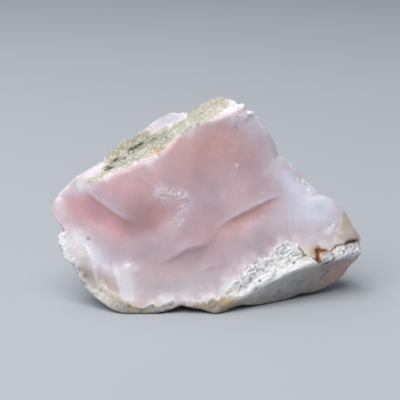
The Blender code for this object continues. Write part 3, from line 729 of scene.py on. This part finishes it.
meshing = {
    "subdivisions": 6,  # of the ball that the mesh starts from
    "crowding": np.array([0.02, -0.3, 0.05]),  # draws the first points towards the broken face
    "turns": 7,
    "splitOver": 1.45,  # an edge this much longer than wanted is split
    "easing": 0.4,  # how far each point moves to the middle of its neighbours
    "search": (0.8, 0.4, 0.5),  # mm either side of a new point, a late new point, an eased point
}


def ontoSurface(points, search):
    # moves points along their rays onto the stone's surface
    offset = points - form["rayCentre"]
    length = np.linalg.norm(offset, axis=1)
    directions = offset / length[:, None]
    return form["rayCentre"] + surfaceNear(directions, length, search)[:, None] * directions


def edgeLengths(points, ends):
    return np.linalg.norm(points[ends[:, 0]] - points[ends[:, 1]], axis=1)


def meanAround(ends, first, second, count):
    # the mean at each point of what its edges bring to their first and second ends
    total = np.zeros((count, first.shape[1]))
    np.add.at(total, ends[:, 0], first)
    np.add.at(total, ends[:, 1], second)
    return total / np.bincount(ends.ravel(), minlength=count)[:, None]


def splitEdges(mesh, chosen):
    split = bmesh.new()
    split.from_mesh(mesh)
    split.edges.ensure_lookup_table()
    edges = [split.edges[i] for i in chosen]
    bmesh.ops.subdivide_edges(split, edges=edges, cuts=1, use_grid_fill=False)
    wide = [f for f in split.faces if len(f.verts) > 3]
    bmesh.ops.triangulate(split, faces=wide, quad_method="SHORT_EDGE")
    split.to_mesh(mesh)
    split.free()


def makeStoneMesh():
    # a ball drawn in onto the form, split again and again where it has to be finer
    ball = bmesh.new()
    bmesh.ops.create_icosphere(ball, subdivisions=meshing["subdivisions"], radius=1.0)
    mesh = bpy.data.meshes.new("stone_surface")
    ball.to_mesh(mesh)
    ball.free()
    directions = unitLength(unitLength(readPoints(mesh)) + meshing["crowding"])
    points = form["rayCentre"] + firstReach(directions)[:, None] * directions
    early, late, eased = meshing["search"]
    for turn in range(meshing["turns"]):
        ends = readEdges(mesh)
        longest = 0.5 * meshing["splitOver"] * wantedEdge(points)[ends].sum(axis=1)
        long = edgeLengths(points, ends) > longest
        if not long.any():
            break
        mesh.vertices.foreach_set("co", points.ravel())
        splitEdges(mesh, np.flatnonzero(long))
        old = len(points)
        points = readPoints(mesh)
        points[old:] = ontoSurface(points[old:], early if turn < 3 else late)
        ends = readEdges(mesh)
        around = meanAround(ends, points[ends[:, 1]], points[ends[:, 0]], len(points))
        points = ontoSurface(points + meshing["easing"] * (around - points), eased)
        print("  split", turn + 1, "-", len(mesh.polygons), "triangles")
    return mesh, points


mesh, points = makeStoneMesh()
triangles = readTriangles(mesh)
normals = pointNormals(points, triangles)
print("stone surface:", len(points), "points,", len(triangles), "triangles")


def spread(mesh, points):
    # mean edge length around each point, in mm
    ends = readEdges(mesh)
    length = edgeLengths(points, ends)[:, None]
    return meanAround(ends, length, length, len(points))[:, 0]


def fade(size, edge):
    # relief fades out where the mesh is too coarse for its size
    return unit((size / edge - 1.2) / 1.6)


def turnedNoise(zone, sizes, degrees, seed, finer=1.0, bend=0.0):
    # lumps drawn out along a direction on the broken face, in the given sizes
    turn = math.radians(degrees)
    along = zone["across"] * math.cos(turn) + zone["up"] * math.sin(turn)
    over = zone["up"] * math.cos(turn) - zone["across"] * math.sin(turn)
    turned = np.stack([along / sizes[0], over / sizes[1], zone["deep"] / sizes[2]], axis=1)
    return lumpNoise(turned * finer + bend, 1.0, seed)


def facets(points, size, seed):
    # flat chips that lean each their own way
    scaled = points / size
    near = np.full(len(points), 9.0)
    lean = np.zeros(len(points))
    for there, middle in grainsAround(scaled, seed):
        offset = scaled - there - middle
        tilt = hashedVector(there, seed + 3) * 2.0 - 1.0
        gap = np.linalg.norm(offset, axis=1)
        closer = gap < near
        rise = (offset * tilt).sum(axis=1) + 0.5 * (hashed(there, seed + 6) - 0.5)
        lean = np.where(closer, rise, lean)
        near = np.where(closer, gap, near)
    return lean


def ovals(zone, rows):
    # soft ovals: across, up, half sizes, turn, strength
    return sum(amount * swelling(zone["across"], zone["up"], *oval) for *oval, amount in rows)


def tint(zone, masks, patches, where):
    for name, rows in patches.items():
        masks[name] += where * ovals(zone, rows)


crustSkin = {  # sizes and heights in mm, turns in degrees on the broken face
    "layers": ((4.6, 1.0, 2.0), 33.0), "layerHeight": 0.15,
    "fineLayers": (30.0, 0.5),  # turn and share
    "grains": (0.8, 0.11), "sand": (0.45, 0.06),
    "holeShare": 0.07, "holeDepth": 0.2,
    "olive": ((7.0, 2.6, 4.0), 33.0),
    "threads": ((2.2, 0.42, 1.0), 31.0),
    "streaks": {"darkStreak": (0.42, 0.12), "lowStreak": (0.34, 0.08)},  # half width and depth
    "peakSpecks": [(4.4, 44.6, 0.9, 1.3, 0, 0.9)],
    "olivePatches": [(-20.0, 34.6, 8.0, 3.0, 32, 0.35), (-2, 43, 7, 3, 30, 0.15)],
    "patches": {
        # painted shade in two patches, near the peak and beside the knob
        "cavity": [(2.4, 45.4, 4.0, 2.0, 18, 0.15), (-8.0, 39.4, 6.0, 1.8, 30, 0.15)],
        "bruise": [(-24.6, 30.6, 2.6, 1.2, 30, 0.5)],
    },
}


def dressCrust(zone, masks, edge):
    # layers that run up the slope, then grains and sand, with dark specks between
    points, front, isCrust = zone["points"], zone["front"], zone["isCrust"]
    border = front * fading(zone["crust"], 0.9 + 0.9 * zone["upperRight"])
    sizes, turn = crustSkin["layers"]
    fineTurn, fineShare = crustSkin["fineLayers"]
    layers = turnedNoise(zone, sizes, turn, 21)
    layers += fineShare * turnedNoise(zone, sizes, fineTurn, 24, finer=2.1)
    relief = crustSkin["layerHeight"] * layers

    size, height = crustSkin["grains"]
    near, second, value = grainNoise(points, size, 22)
    domes = np.sqrt(unit(1.0 - (near / 0.75) ** 2)) - 0.6
    relief += height * domes * fade(size, edge) * (0.4 + value) * (1.0 - 0.6 * border)
    # painted shade between the grains and in the troughs of the layers
    masks["cavity"] += isCrust * unit(0.30 - 0.5 * layers - (second - near) * 1.2)
    holes = (value < crustSkin["holeShare"]) * unit(1.3 - near * 2.6)
    relief -= holes * crustSkin["holeDepth"]
    masks["dark"] += isCrust * holes * 0.8

    size, height = crustSkin["sand"]
    near, _, value = grainNoise(points, size, 31)
    relief += height * (0.7 - near) * fade(size, edge)
    crowded = np.clip(0.10 - 0.22 * layers, 0.03, 0.4)
    speck = unit(1.5 - near * 2.2)
    masks["dark"] += isCrust * (value < crowded) * speck * 0.55 * (1.0 - border)
    masks["dark"] += isCrust * (value < 0.5) * speck * front * ovals(zone, crustSkin["peakSpecks"])
    masks["bruise"] += isCrust * (border * (0.3 + 0.5 * (value > 0.55)) + 0.5 * (value > 0.90))

    olive = turnedNoise(zone, *crustSkin["olive"], 41) - 0.5 * layers
    olive += ovals(zone, crustSkin["olivePatches"])
    masks["olive"] = unit(0.25 + 0.8 * olive)
    thread = turnedNoise(zone, *crustSkin["threads"], 44)
    masks["dark"] += isCrust * unit(thread - 0.45) * (value < 0.4)
    speckled = unit(1.3 * thread + 0.9 * (0.75 - near) + 0.25 * (value > 0.5))
    wander = 0.15 * lumpNoise(points, 0.8, 45)
    for name, (width, depth) in crustSkin["streaks"].items():
        gap = nearLine(zone["across"], zone["up"], zones[name])[0] + wander
        streak = bell(gap, width) * speckled * front
        relief -= streak * depth
        masks["dark"] += isCrust * streak * 1.1
    tint(zone, masks, crustSkin["patches"], isCrust * front)
    # dark specks and painted shade fade out towards the opal
    masks["cavity"] *= 1.0 - 0.8 * border * isCrust
    masks["dark"] *= 1.0 - 0.7 * border * isCrust
    return relief * isCrust


rindSkin = {  # sizes and heights in mm, turns in degrees on the broken face
    "ridges": ((3.0, 1.0, 1.6), 27.0), "ridgeHeight": 0.22,
    "bits": ((1.1, 0.55, 0.7), 40.0), "bitHeight": 0.09,
    "lumps": 1.9, "bends": 2.6,
    "pits": (1.4, 0.25),
    "specks": 0.62,
    "bandFrom": 1.9,  # the left rim is creamy and smooth further in than this
    "highlightLine": 1.2,  # height of the painted highlight line above the ridge
    "crackDepth": 0.1, "crackWidth": 0.18,
    "patches": {
        # grey and warm painted shade where the left rim and the bottom face down
        "cavity": [(-28.6, 5.0, 2.6, 1.6, -50, 0.8), (2.2, -3.0, 4.4, 1.7, 8, 0.35),
                   (-13.0, -3.2, 5.0, 1.4, 0, 0.3), (-25.2, 0.9, 4.5, 2.0, -45, 0.2)],
        "warm": [(-28.6, 5.0, 2.6, 1.6, -50, 0.3)],
        "bruise": [(-33.2, 13.2, 2.6, 1.4, -10, 1.2)],
        "yellow": [(2.2, -3.0, 4.4, 1.7, 8, 2.2)],
        "rust": [(2.2, -3.0, 4.4, 1.7, 8, 0.10)],
    },
    "underPatches": {  # on the smooth underside of the block: painted shade, grey and warm
        "cavity": [(30.6, 7.2, 4.0, 1.5, 25, 0.4), (26.0, 1.0, 12.0, 2.4, 20, 0.25)],
        "warm": [(31.5, 4.6, 5.0, 2.6, 35, 0.9)],
    },
    "plainEnd": [(31.5, 4.2, 3.4, 1.8, 35, 0.8)],  # hardly any lines here
    "darkFoot": [(-5.0, -3.0, 1.9, 0.55, -6, 1.0)],
}


def dressRind(zone, masks, edge):
    # crumpled ridges that run up to the right, with crumbs and pits between
    points, across, up = zone["points"], zone["across"], zone["up"]
    front, isRind, inward = zone["front"], zone["isRind"], zone["inward"]
    aboveRidge = aboveLine(across, up, zones["rindRidge"])
    isRim = softStep(2.0 - across, 1.0) * front + zone["back"]
    isBlock = front * (1.0 - isRim)
    smoothUnder = softStep(-aboveRidge - 0.2, 0.8) * softStep(across - 3.0, 1.0) * front
    inBand = isRim * front * softStep(inward - rindSkin["bandFrom"], 0.5)
    rough = (1.0 - 0.78 * smoothUnder) * (1.0 - 0.75 * inBand)
    calm = 1.0 - 0.55 * isBlock

    bend = np.stack([lumpNoise(points, rindSkin["bends"], seed) for seed in (54, 55, 56)], axis=1)
    lumps = lumpNoise(points, rindSkin["lumps"], 57)
    ridges = 1.0 - 2.4 * np.abs(turnedNoise(zone, *rindSkin["ridges"], 51, bend=0.45 * bend))
    ridges = ridges + (0.9 * lumps - ridges) * isRim
    bits = 1.0 - 2.4 * np.abs(turnedNoise(zone, *rindSkin["bits"], 52, bend=0.3 * bend))
    relief = rough * rindSkin["ridgeHeight"] * (0.4 + 0.6 * calm) * ridges * fade(1.0, edge)
    relief += rough * rindSkin["bitHeight"] * calm * bits * fade(0.6, edge)
    size, height = rindSkin["pits"]
    near, _, value = grainNoise(points, size, 53)
    pits = (value < 0.25) * unit(1.25 - near * 2.4) * rough
    relief -= pits * height

    # painted shade in the hollows between ridges and bits and in the pits, and over the underside
    hollow = rough * calm * (unit(-0.15 - 0.9 * ridges) + 0.35 * unit(-0.3 - bits))
    hollow += 0.5 * pits * isRind
    masks["cavity"] += isRind * (hollow + 0.44 * smoothUnder + 0.10 * inBand)
    masks["warm"] += isRind * 0.22 * inBand * softStep(up - 5.0, 3.0)
    masks["yellow"] += 0.15 * inBand * softStep(6.0 - up, 3.0)
    # painted shade along the low front edge, which faces down
    lowEdgeShade = softStep(3.5 - across, 1.0) * softStep(0.2 - up, 1.0) * softStep(across + 22.0, 3.0)
    masks["cavity"] += front * isRind * lowEdgeShade * unit(0.5 + 0.5 * lumps)
    tint(zone, masks, rindSkin["patches"], isRind * front)

    # dark specks: on the left rim, along the foot, in the deepest pits
    tinyNear, _, tinyValue = grainNoise(points, rindSkin["specks"], 88)
    tiny = (tinyValue < 0.3) * unit(1.5 - tinyNear * 2.2) * front
    leftSpecks = 0.7 * bell(inward, 1.1) * softStep(-24.0 - across, 3.0)
    foot = softStep(-1.6 - up, 0.8) * softStep(4.0 - across, 2.0) * softStep(across + 20.0, 3.0)
    masks["dark"] += isRind * tiny * (leftSpecks + 0.5 * foot)
    masks["dark"] += isRind * (value < 0.03) * unit(1.2 - near * 3.4)
    masks["dark"] += isRind * isRim * 0.5 * (value > 0.9) * unit(1.0 - near * 1.8)
    patchy = unit(0.5 + lumpNoise(points, 0.9, 84))
    masks["dark"] += front * patchy * ovals(zone, rindSkin["darkFoot"])

    # the block: crackled on top, with painted highlights on the ridge crests and along the main
    # ridge, and whiter at its border with the opal
    upper = isBlock * softStep(aboveRidge - 2.2 + 0.8 * lumps, 1.4)
    masks["lines"] += isRind * rough * (0.2 + 0.8 * upper)
    plain = 1.0 - ovals(zone, rindSkin["plainEnd"])
    masks["lines"] += isRind * front * 0.75 * softStep(across - 28.0, 2.0) * plain
    masks["bruise"] += isRind * 0.5 * softStep(ridges - 0.35, 0.3) * rough
    paler = (1.0 - smoothUnder) * (0.45 + 0.4 * lumps) * (1.0 - upper)
    masks["bruise"] += isRind * isBlock * (0.9 * fading(zone["rind"], 0.9) + paler)
    ridgeHighlight = front * bell(aboveRidge - rindSkin["highlightLine"], 1.0)
    ridgeHighlight = isRind * ridgeHighlight * softStep(across - 6.0, 2.0) * softStep(25.5 - across, 2.0)
    masks["bruise"] += 0.8 * ridgeHighlight
    masks["cavity"] *= 1.0 - 0.7 * ridgeHighlight

    # its smooth underside: mottled painted shade, deeper and yellower further down
    low = unit(-aboveRidge / 6.0)
    mottle = 0.2 * lumpNoise(points, 3.0, 93) + 0.1 * lumpNoise(points, 1.1, 94) - 0.08
    masks["cavity"] += isRind * smoothUnder * (mottle + 0.18 * low)
    masks["yellow"] += isRind * smoothUnder * (0.2 + 0.4 * low)
    tint(zone, masks, rindSkin["underPatches"], isRind * smoothUnder)
    lowLeft = softStep(-18.0 - across, 2.0) * softStep(5.0 - up, 3.0)
    lowMiddle = softStep(across + 16.0, 3.0) * softStep(3.5 - across, 1.0)
    masks["yellow"] += isRind * front * 0.3 * (lowLeft + lowMiddle)
    relief = relief * isRind
    broken = unit(0.45 + 1.3 * lumpNoise(points, 0.7, 59))
    for line in hairCracks:
        gap = nearLine(across, up, line)[0] + 0.15 * lumpNoise(points, 0.7, 58)
        fissure = front * bell(gap, rindSkin["crackWidth"]) * broken
        relief -= rindSkin["crackDepth"] * fissure
        masks["dark"] += 0.8 * fissure
    return relief


backSkin = {  # mm
    "facets": (5.5, 0.5), "bends": (3.0, 0.5),  # size, height
    "crustRise": 0.22, "rindRise": 0.12,
    "lumps": (3.2, 0.3), "swells": (7.0, 0.12),
}


def dressBack(zone):
    # knocks and steps of its own, the crust standing a little proud of the breaks
    points, isCrust, isRind = zone["points"], zone["isCrust"], zone["isRind"]
    bendSize, bendDepth = backSkin["bends"]
    size, height = backSkin["facets"]
    bent = points + bendDepth * lumpNoise(points, bendSize, 72)[:, None]
    relief = height * facets(bent, size, 73)
    size, height = backSkin["lumps"]
    relief += backSkin["crustRise"] * isCrust + backSkin["rindRise"] * isRind
    relief += height * lumpNoise(points, size, 74) * (isCrust + isRind)
    size, height = backSkin["swells"]
    relief += height * zone["isOpal"] * np.sin(6.6 * lumpNoise(points, size, 75))
    return relief * zone["back"]


opalSkin = {  # sizes and heights in mm
    "swells": (5.0, 0.05),
    "chips": (0.9, 0.3), "chipReach": 1.7, "rimChipReach": 0.9,
    "glints": 0.75,
    "edgeFacets": (1.7, 0.32),
    "peak": [(8.8, 43.6, 4.4, 2.6, 0, 1.0)],
    "groove": (0.4, 0.4),  # half width and depth
}


def dressOpal(zone, masks):
    # low swells, chips on the bruised places and along the rim, with painted glints on some chips
    points, across, up = zone["points"], zone["across"], zone["up"]
    front, isOpal = zone["front"], zone["isOpal"]
    size, height = opalSkin["swells"]
    relief = height * lumpNoise(points, size, 61)
    chipGap = nearestOf(across, up, chipLines)
    rimGap = nearestOf(across, up, rimChipLines)
    reach = opalSkin["chipReach"]
    chips = bell(chipGap, reach) * unit(0.35 + 1.6 * lumpNoise(points, reach, 62))
    chips = np.maximum(chips, bell(rimGap, opalSkin["rimChipReach"])) * front
    size, height = opalSkin["chips"]
    cut = facets(points, size, 63)
    # painted glints: small bright highlights on some of the chips
    near, _, value = grainNoise(points, opalSkin["glints"], 66)
    glint = (value > 0.62) * unit(1.5 - near * 2.6)
    relief += chips * height * cut
    masks["bruise"] += isOpal * chips * (0.45 + 1.1 * glint) * unit(0.7 + cut)
    masks["pale"] += 0.3 * front * bell(chipGap, 2.0)

    rim = bell(zone["inward"], 1.0)
    peak = ovals(zone, opalSkin["peak"]) * front
    size, height = opalSkin["edgeFacets"]
    cut = facets(points, size, 71)
    relief += np.clip(0.55 * rim + 1.6 * peak + 0.5 * zone["back"], 0.0, 1.6) * height * cut
    masks["bruise"] += isOpal * (0.35 * rim + 0.3 * peak) * unit(0.4 + cut)
    masks["bruise"] += isOpal * zone["right"] * front * 0.8 * bell(zone["inward"], 0.7)

    width, depth = opalSkin["groove"]
    gap, place = nearLine(across, up, zones["peakGroove"])
    relief -= depth * front * bell(gap, width) * (1.0 - 0.7 * place)
    for line in scratches:
        gap = nearLine(across, up, line)[0] + 0.12 * lumpNoise(points, 0.8, 85)
        masks["bruise"] += 0.55 * front * bell(gap, 0.25) * unit(0.6 + lumpNoise(points, 0.7, 86))
    return relief * isOpal


stains = {  # the cracks' depth in mm, and ovals of rust
    "crackDepth": 0.22,  # mm
    "rust": [(27.7, 10.1, 1.7, 0.6, 0, 1.0)],
    "crustRust": [(-12.0, 34.2, 1.3, 0.9, 20, 0.55)],
}


def dressCracks(zone, masks):
    # cracks beside the rind and the tan tip, and the rust that ran out of them
    points, across, up, front = zone["points"], zone["across"], zone["up"], zone["front"]
    relief = np.zeros(len(points))
    wander = 0.25 * lumpNoise(points, 0.9, 81)
    atTip = softStep(across - 33.0, 1.5)
    heavy = 0.55 + 0.45 * atTip + 0.3 * lumpNoise(points, 0.8, 82)
    for name, width in crackWidths.items():
        gap = np.abs(nearLine(across, up, zones[name])[0] + wander)
        width = width * (0.8 + 0.9 * atTip)
        crack = bell(gap, width) * front * heavy
        relief -= crack * stains["crackDepth"]
        masks["dark"] += crack
        masks["rust"] += bell(gap, width * 2.2) * front * 0.45 * softStep(across - 25.5, 1.0)
    blotch = unit(0.75 + 0.9 * lumpNoise(points, 0.7, 83)) * front
    gap = nearLine(across, up, zones["crackRust"])[0] + 0.35 * lumpNoise(points, 0.9, 87)
    masks["rust"] += (0.4 + 0.7 * blotch) * bell(gap, 0.42 + 0.5 * softStep(up - 9.4, 1.4))
    masks["rust"] += (0.3 + 0.7 * blotch) * ovals(zone, stains["rust"])
    masks["rust"] += zone["isCrust"] * blotch * ovals(zone, stains["crustRust"])
    masks["dark"] += 0.5 * blotch * front * bell(gap - 0.35, 0.25)
    return relief


glow = {  # ovals as in patches; the ledge and valley entries are painted shade
    "ledges": {  # strength of the painted warm shade, and how far it reaches below the edge in mm
        "main": (1.0, 2.4), "hood": (0.9, 3.0), "lower": (0.4, 2.2), "lowest": (0.35, 0.5),
    },
    "valley": [(-10.5, 19.5, 5.5, 5.5, 0, 1.0)],
    "tanFacet": [(-22.8, 2.4, 3.0, 1.7, -45, 0.55)],
    "seamDepth": 0.25,  # mm
    "tipYellow": [(35.6, 15.6, 2.4, 2.6, 0, 0.5)],
    "tipFoot": [(33.2, 14.6, 1.0, 1.8, 0, 0.35)],
    "rindFringe": [(6.0, 3.5, 4.5, 5.0, 30, 1.3)],  # frost reaches further at the rind's left end
    "noFrost": [(-23.0, 2.6, 3.4, 1.9, -45, 0.9)],
    "knobShade": [(-9.6, 42.2, 4.6, 3.0, 20, 0.8)],
    "cleanRim": [(-33.0, 13.0, 5.0, 7.0, 0, 0.9)],
}


def dressEdges(zone, masks):
    # painted shade, painted highlights and colour where the opal steps, thins out or ends
    points, across, up = zone["points"], zone["across"], zone["up"]
    front, back, isOpal, ragged = zone["front"], zone["back"], zone["isOpal"], zone["ragged"]

    # painted warm shade just under each ledge, less warmth above it, and a painted highlight line
    # along its edge
    for name, (shadeWarmth, fall) in glow["ledges"].items():
        line = np.array(form["ledges"][name][0], float)
        share = np.interp(across, line[:, 0], line[:, 2]) * front
        over = aboveLine(across, up, line)
        masks["warm"] += share * shadeWarmth * softStep(-over - 0.1, 0.35) * fading(-over, fall)
        masks["warm"] -= share * 0.6 * softStep(over, 0.3) * fading(over, 2.0)
        edgeHighlight = softStep(over - 0.1, 0.3) * fading(over, 0.7)
        masks["pale"] += share * (0.2 + 0.6 * shadeWarmth) * edgeHighlight

    # painted warm and mauve shade in the valley, ending sharply at the chipped edges
    underTop = -aboveLine(across, up, form["ledges"]["chipStep"][0])
    leftOf = -rightOfLine(across, up, zones["lowChips"])
    inside = softStep(underTop - 0.2, 0.5) * softStep(leftOf - 0.1, 0.9) * front
    masks["warm"] += 0.45 * inside * ovals(zone, glow["valley"])
    masks["dusk"] += 0.15 * inside * ovals(zone, glow["valley"])

    # a pale seam runs down the lower left, with the tan facet beside it
    beside = rightOfLine(across, up, zones["paleSeam"])
    reach = softStep(up + 1.5, 1.0) * softStep(7.4 - up, 1.2) * front
    masks["pale"] += reach * 0.75 * softStep(beside, 0.4) * fading(beside, 1.8)
    masks["tan"] += reach * softStep(-beside - 0.2, 0.3) * ovals(zone, glow["tanFacet"])
    relief = -reach * glow["seamDepth"] * softStep(-beside, 0.5) * fading(-beside, 2.5) * isOpal

    # the opal turns white and frosty beside crust and rind
    rightward = softStep(across + 6.0, 4.0)
    frost = fading(-zone["crust"], 1.4 + 1.2 * rightward) * (0.6 + 0.4 * rightward)
    rindReach = 1.9 + 0.8 * softStep(-24.0 - across, 3.0) + ovals(zone, glow["rindFringe"])
    frost += 1.25 * fading(-zone["rind"], rindReach)
    frost = frost * unit(0.65 + 0.6 * ragged) - ovals(zone, glow["noFrost"])
    masks["bruise"] += isOpal * front * frost
    masks["pale"] += back * unit(0.45 + 0.6 * zone["wide"])
    masks["cavity"] += front * isOpal * ovals(zone, glow["knobShade"])

    # the tan tip at the right
    inTip = rightOfLine(across, up, zones["tanTip"]) + 0.5 * ragged
    tipShare = front * softStep(up - 11.0, 1.2) * softStep(23.0 - up, 2.0)
    cloudy = unit(0.7 + 0.5 * lumpNoise(points, 2.4, 92))
    masks["tan"] += tipShare * softStep(inTip - 0.2, 1.0) * cloudy
    masks["yellow"] += tipShare * softStep(inTip - 1.0, 1.0) * ovals(zone, glow["tipYellow"])
    masks["yellow"] += tipShare * ovals(zone, glow["tipFoot"])
    masks["bruise"] += tipShare * 0.6 * bell(inTip, 0.28) * softStep(up - 14.0, 1.5)

    # an earthy stain on crust and rind, more of it behind
    earthy = unit(0.25 + 0.8 * lumpNoise(points, 5.0, 91)) * (0.2 + 0.5 * back)
    earthy *= 1.0 - front * ovals(zone, glow["cleanRim"])
    masks["yellow"] += earthy * (1.0 - isOpal * (1.0 - 0.2 * back))
    return relief


# cloud and grain: size in mm and share; lines: size in mm, width and colour; bump in mm;
# reach and scale: how far red, green and blue go into the stone, in mm
materials = {
    # common opal, broken by hand: waxy and slightly see-through, so its edges glow
    "common_opal": {
        "base": "#c4a9b0",
        # the mauve and grey layers are painted shade; warm and rose are partly painted warm shade
        # under the ledges, and pale is partly a painted highlight along their edges
        "layers": [("warm", "#d8aba8"), ("rose", "#d3a1aa"), ("pale", "#dcdce9"),
                   ("lilac", "#aba4b4"), ("dusk", "#a8929a"), ("cavity", "#9b9ba8"),
                   ("tan", "#c9b9aa"), ("yellow", "#d2bf9c"), ("bruise", "#e6e2e6"),
                   ("rust", "#a8692e"), ("dark", "#3f2f27")],
        "layerShare": {},
        # opal's own grain is far too fine to see and is drawn coarse
        "cloud": (4.5, 0.07), "grain": (0.7, 0.03), "bump": 0.008, "lines": (1.0, 0.05, "#a8a0a6"),
        "roughness": 0.42, "ior": 1.45, "subsurface": 1.0, "reach": (1.0, 0.62, 0.58), "scale": 2.2,
    },
    # sandy weathered skin: clay and quartz grains that hold no shine
    "weathered_crust": {
        "base": "#b1afa2",
        # the grey layer is painted shade between the grains and in a few patches
        "layers": [("olive", "#a3a28d"), ("cavity", "#8a877a"), ("bruise", "#d8d3cb"),
                   ("rust", "#c98d4e"), ("dark", "#3d3a33")],
        "layerShare": {"olive": 0.62, "cavity": 0.8},
        # fine sand of 0.1 to 0.2 mm, drawn coarser so that it shows
        "cloud": (2.6, 0.10), "grain": (0.45, 0.16), "bump": 0.09, "lines": (0.9, 0.05, "#4a463c"),
        "roughness": 0.92, "ior": 1.5, "subsurface": 0.0, "reach": (1.0, 1.0, 1.0), "scale": 1.0,
    },
    # chalky white rind: dried opal and clay, dull as unglazed porcelain
    "chalky_rind": {
        "base": "#e2e3e7",
        # the grey layer is painted shade in the hollows and on the underside; the whitest layer is
        # partly a painted highlight on the ridges
        "layers": [("bruise", "#f4f4f7"), ("yellow", "#c0a76c"), ("cavity", "#838589"),
                   ("warm", "#c2a297"), ("rust", "#a8692e"), ("dark", "#37332f")],
        "layerShare": {"yellow": 0.92},
        # chalky crumbs under 0.1 mm, drawn coarser so that they show
        "cloud": (3.0, 0.06), "grain": (0.5, 0.08), "bump": 0.07, "lines": (1.3, 0.045, "#7b8087"),
        "roughness": 0.85, "ior": 1.48, "subsurface": 0.12, "reach": (1.0, 0.9, 0.8), "scale": 0.6,
    },
}


def dressStone(points, edge):
    # the stone's small relief, in mm along the normals, and masks for the materials
    zone = readZones(points)
    names = {layer for look in materials.values() for layer, _ in look["layers"]} | {"lines"}
    masks = {name: np.zeros(len(points)) for name in sorted(names)}
    relief = dressCrust(zone, masks, edge)
    relief += dressRind(zone, masks, edge)
    relief += dressBack(zone)
    relief += dressOpal(zone, masks)
    relief += dressCracks(zone, masks)
    relief += dressEdges(zone, masks)
    tint(zone, masks, patches, zone["front"])
    roundSpots = {name: [(a, u, r, r, 0, s) for a, u, r, s in rows] for name, rows in spots.items()}
    tint(zone, masks, roundSpots, zone["front"])
    relief *= np.clip(points[:, 2] / 1.2, 0.15, 1.0)  # flatter where the stone rests
    return relief, masks, zone["isCrust"], zone["isRind"]


relief, masks, isCrust, isRind = dressStone(points, spread(mesh, points))
points = points + relief[:, None] * normals
points[:, 2] = np.maximum(points[:, 2], form["baseLevel"])
print("relief added")

cadPoints = readPoints(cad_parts[nodeName].data)
cadLow, cadHigh = cadPoints.min(axis=0), cadPoints.max(axis=0)
low, high = points.min(axis=0), points.max(axis=0)
peakRise = np.array([0.0, 0.0, 0.3 * mm])  # the dressed peak stands this much above the CAD box
wantedSize = cadHigh - cadLow + peakRise
placed = (points - low) * wantedSize / (high - low) + cadLow
mesh.vertices.foreach_set("co", placed.ravel())
mesh.update()
for name, values in masks.items():
    layer = mesh.attributes.new(name, "FLOAT", "POINT")
    layer.data.foreach_set("value", np.clip(values, 0.0, 1.0).astype(np.float32))


def makeMaterial(name, look):
    material = bpy.data.materials.new(name)
    material.use_nodes = True
    tree = material.node_tree
    shader = tree.nodes["Principled BSDF"]
    place = addNode(tree, "ShaderNodeTexCoord").outputs["Object"]
    noise = {}
    for pattern, detail, bend in (("cloud", 3.0, 0.0), ("grain", 4.0, 0.0), ("lines", 2.0, 0.8)):
        settings = {"Scale": 1.0 / (look[pattern][0] * mm), "Detail": detail, "Distortion": bend}
        node = addNode(tree, "ShaderNodeTexNoise", settings, {"Vector": place})
        noise[pattern] = node.outputs["Fac"]

    # each layer's colour is mixed in by its mask
    mixes = []
    for layer, hexText in look["layers"]:
        mask = addNode(tree, "ShaderNodeAttribute", {"attribute_name": layer}).outputs["Fac"]
        most = look["layerShare"].get(layer, 1.0)
        share = addNode(tree, "ShaderNodeMath", {"operation": "MULTIPLY", 1: most}, {0: mask})
        mixes.append((share.outputs[0], hexText))
    # drying cracks: thin lines where a crumpled noise passes its middle value
    _, lineWidth, lineColour = look["lines"]
    away = addNode(tree, "ShaderNodeMath", {"operation": "SUBTRACT", 1: 0.5}, {0: noise["lines"]})
    away = addNode(tree, "ShaderNodeMath", {"operation": "ABSOLUTE"}, {0: away.outputs[0]})
    thin = addNode(tree, "ShaderNodeMapRange", {1: 0.0, 2: lineWidth, 3: 1.0, 4: 0.0},
                   {0: away.outputs[0]})
    mask = addNode(tree, "ShaderNodeAttribute", {"attribute_name": "lines"}).outputs["Fac"]
    share = addNode(tree, "ShaderNodeMath", {"operation": "MULTIPLY"},
                    {0: thin.outputs[0], 1: mask})
    mixes.append((share.outputs[0], lineColour))

    colour = addNode(tree, "ShaderNodeRGB").outputs[0]
    colour.default_value = linearColour(look["base"])
    for share, hexText in mixes:
        mix = addNode(tree, "ShaderNodeMix", {"data_type": "RGBA", "clamp_factor": True},
                      {0: share, 6: colour})
        mix.inputs[7].default_value = linearColour(hexText)
        colour = mix.outputs[2]
    for pattern in ("cloud", "grain"):
        amount = look[pattern][1]
        level = addNode(tree, "ShaderNodeMapRange",
                        {1: 0.3, 2: 0.7, 3: 1.0 - amount, 4: 1.0 + amount}, {0: noise[pattern]})
        colour = addNode(tree, "ShaderNodeVectorMath", {"operation": "SCALE"},
                         {0: colour, "Scale": level.outputs[0]}).outputs[0]
    tree.links.new(colour, shader.inputs["Base Color"])
    bump = addNode(tree, "ShaderNodeBump", {"Strength": 1.0, "Distance": look["bump"] * mm},
                   {"Height": noise["grain"]}).outputs[0]
    tree.links.new(bump, shader.inputs["Normal"])
    shader.inputs["Roughness"].default_value = look["roughness"]
    shader.inputs["IOR"].default_value = look["ior"]
    shader.inputs["Subsurface Weight"].default_value = look["subsurface"]
    shader.inputs["Subsurface Radius"].default_value = look["reach"]
    shader.inputs["Subsurface Scale"].default_value = look["scale"] * mm
    return material


stone = bpy.data.objects.new("opal_stone", mesh)
bpy.context.scene.collection.objects.link(stone)
for name, look in materials.items():
    mesh.materials.append(makeMaterial(name, look))
crustFace = isCrust[triangles].mean(axis=1)
rindFace = isRind[triangles].mean(axis=1)
surface = np.where(crustFace > 0.5, 1, np.where(rindFace > 0.5, 2, 0))
mesh.polygons.foreach_set("material_index", surface.astype(np.int32))
mesh.polygons.foreach_set("use_smooth", np.ones(len(triangles), bool))
mesh.update()
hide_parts(nodeName)
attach(stone, "root")
print("materials ready")
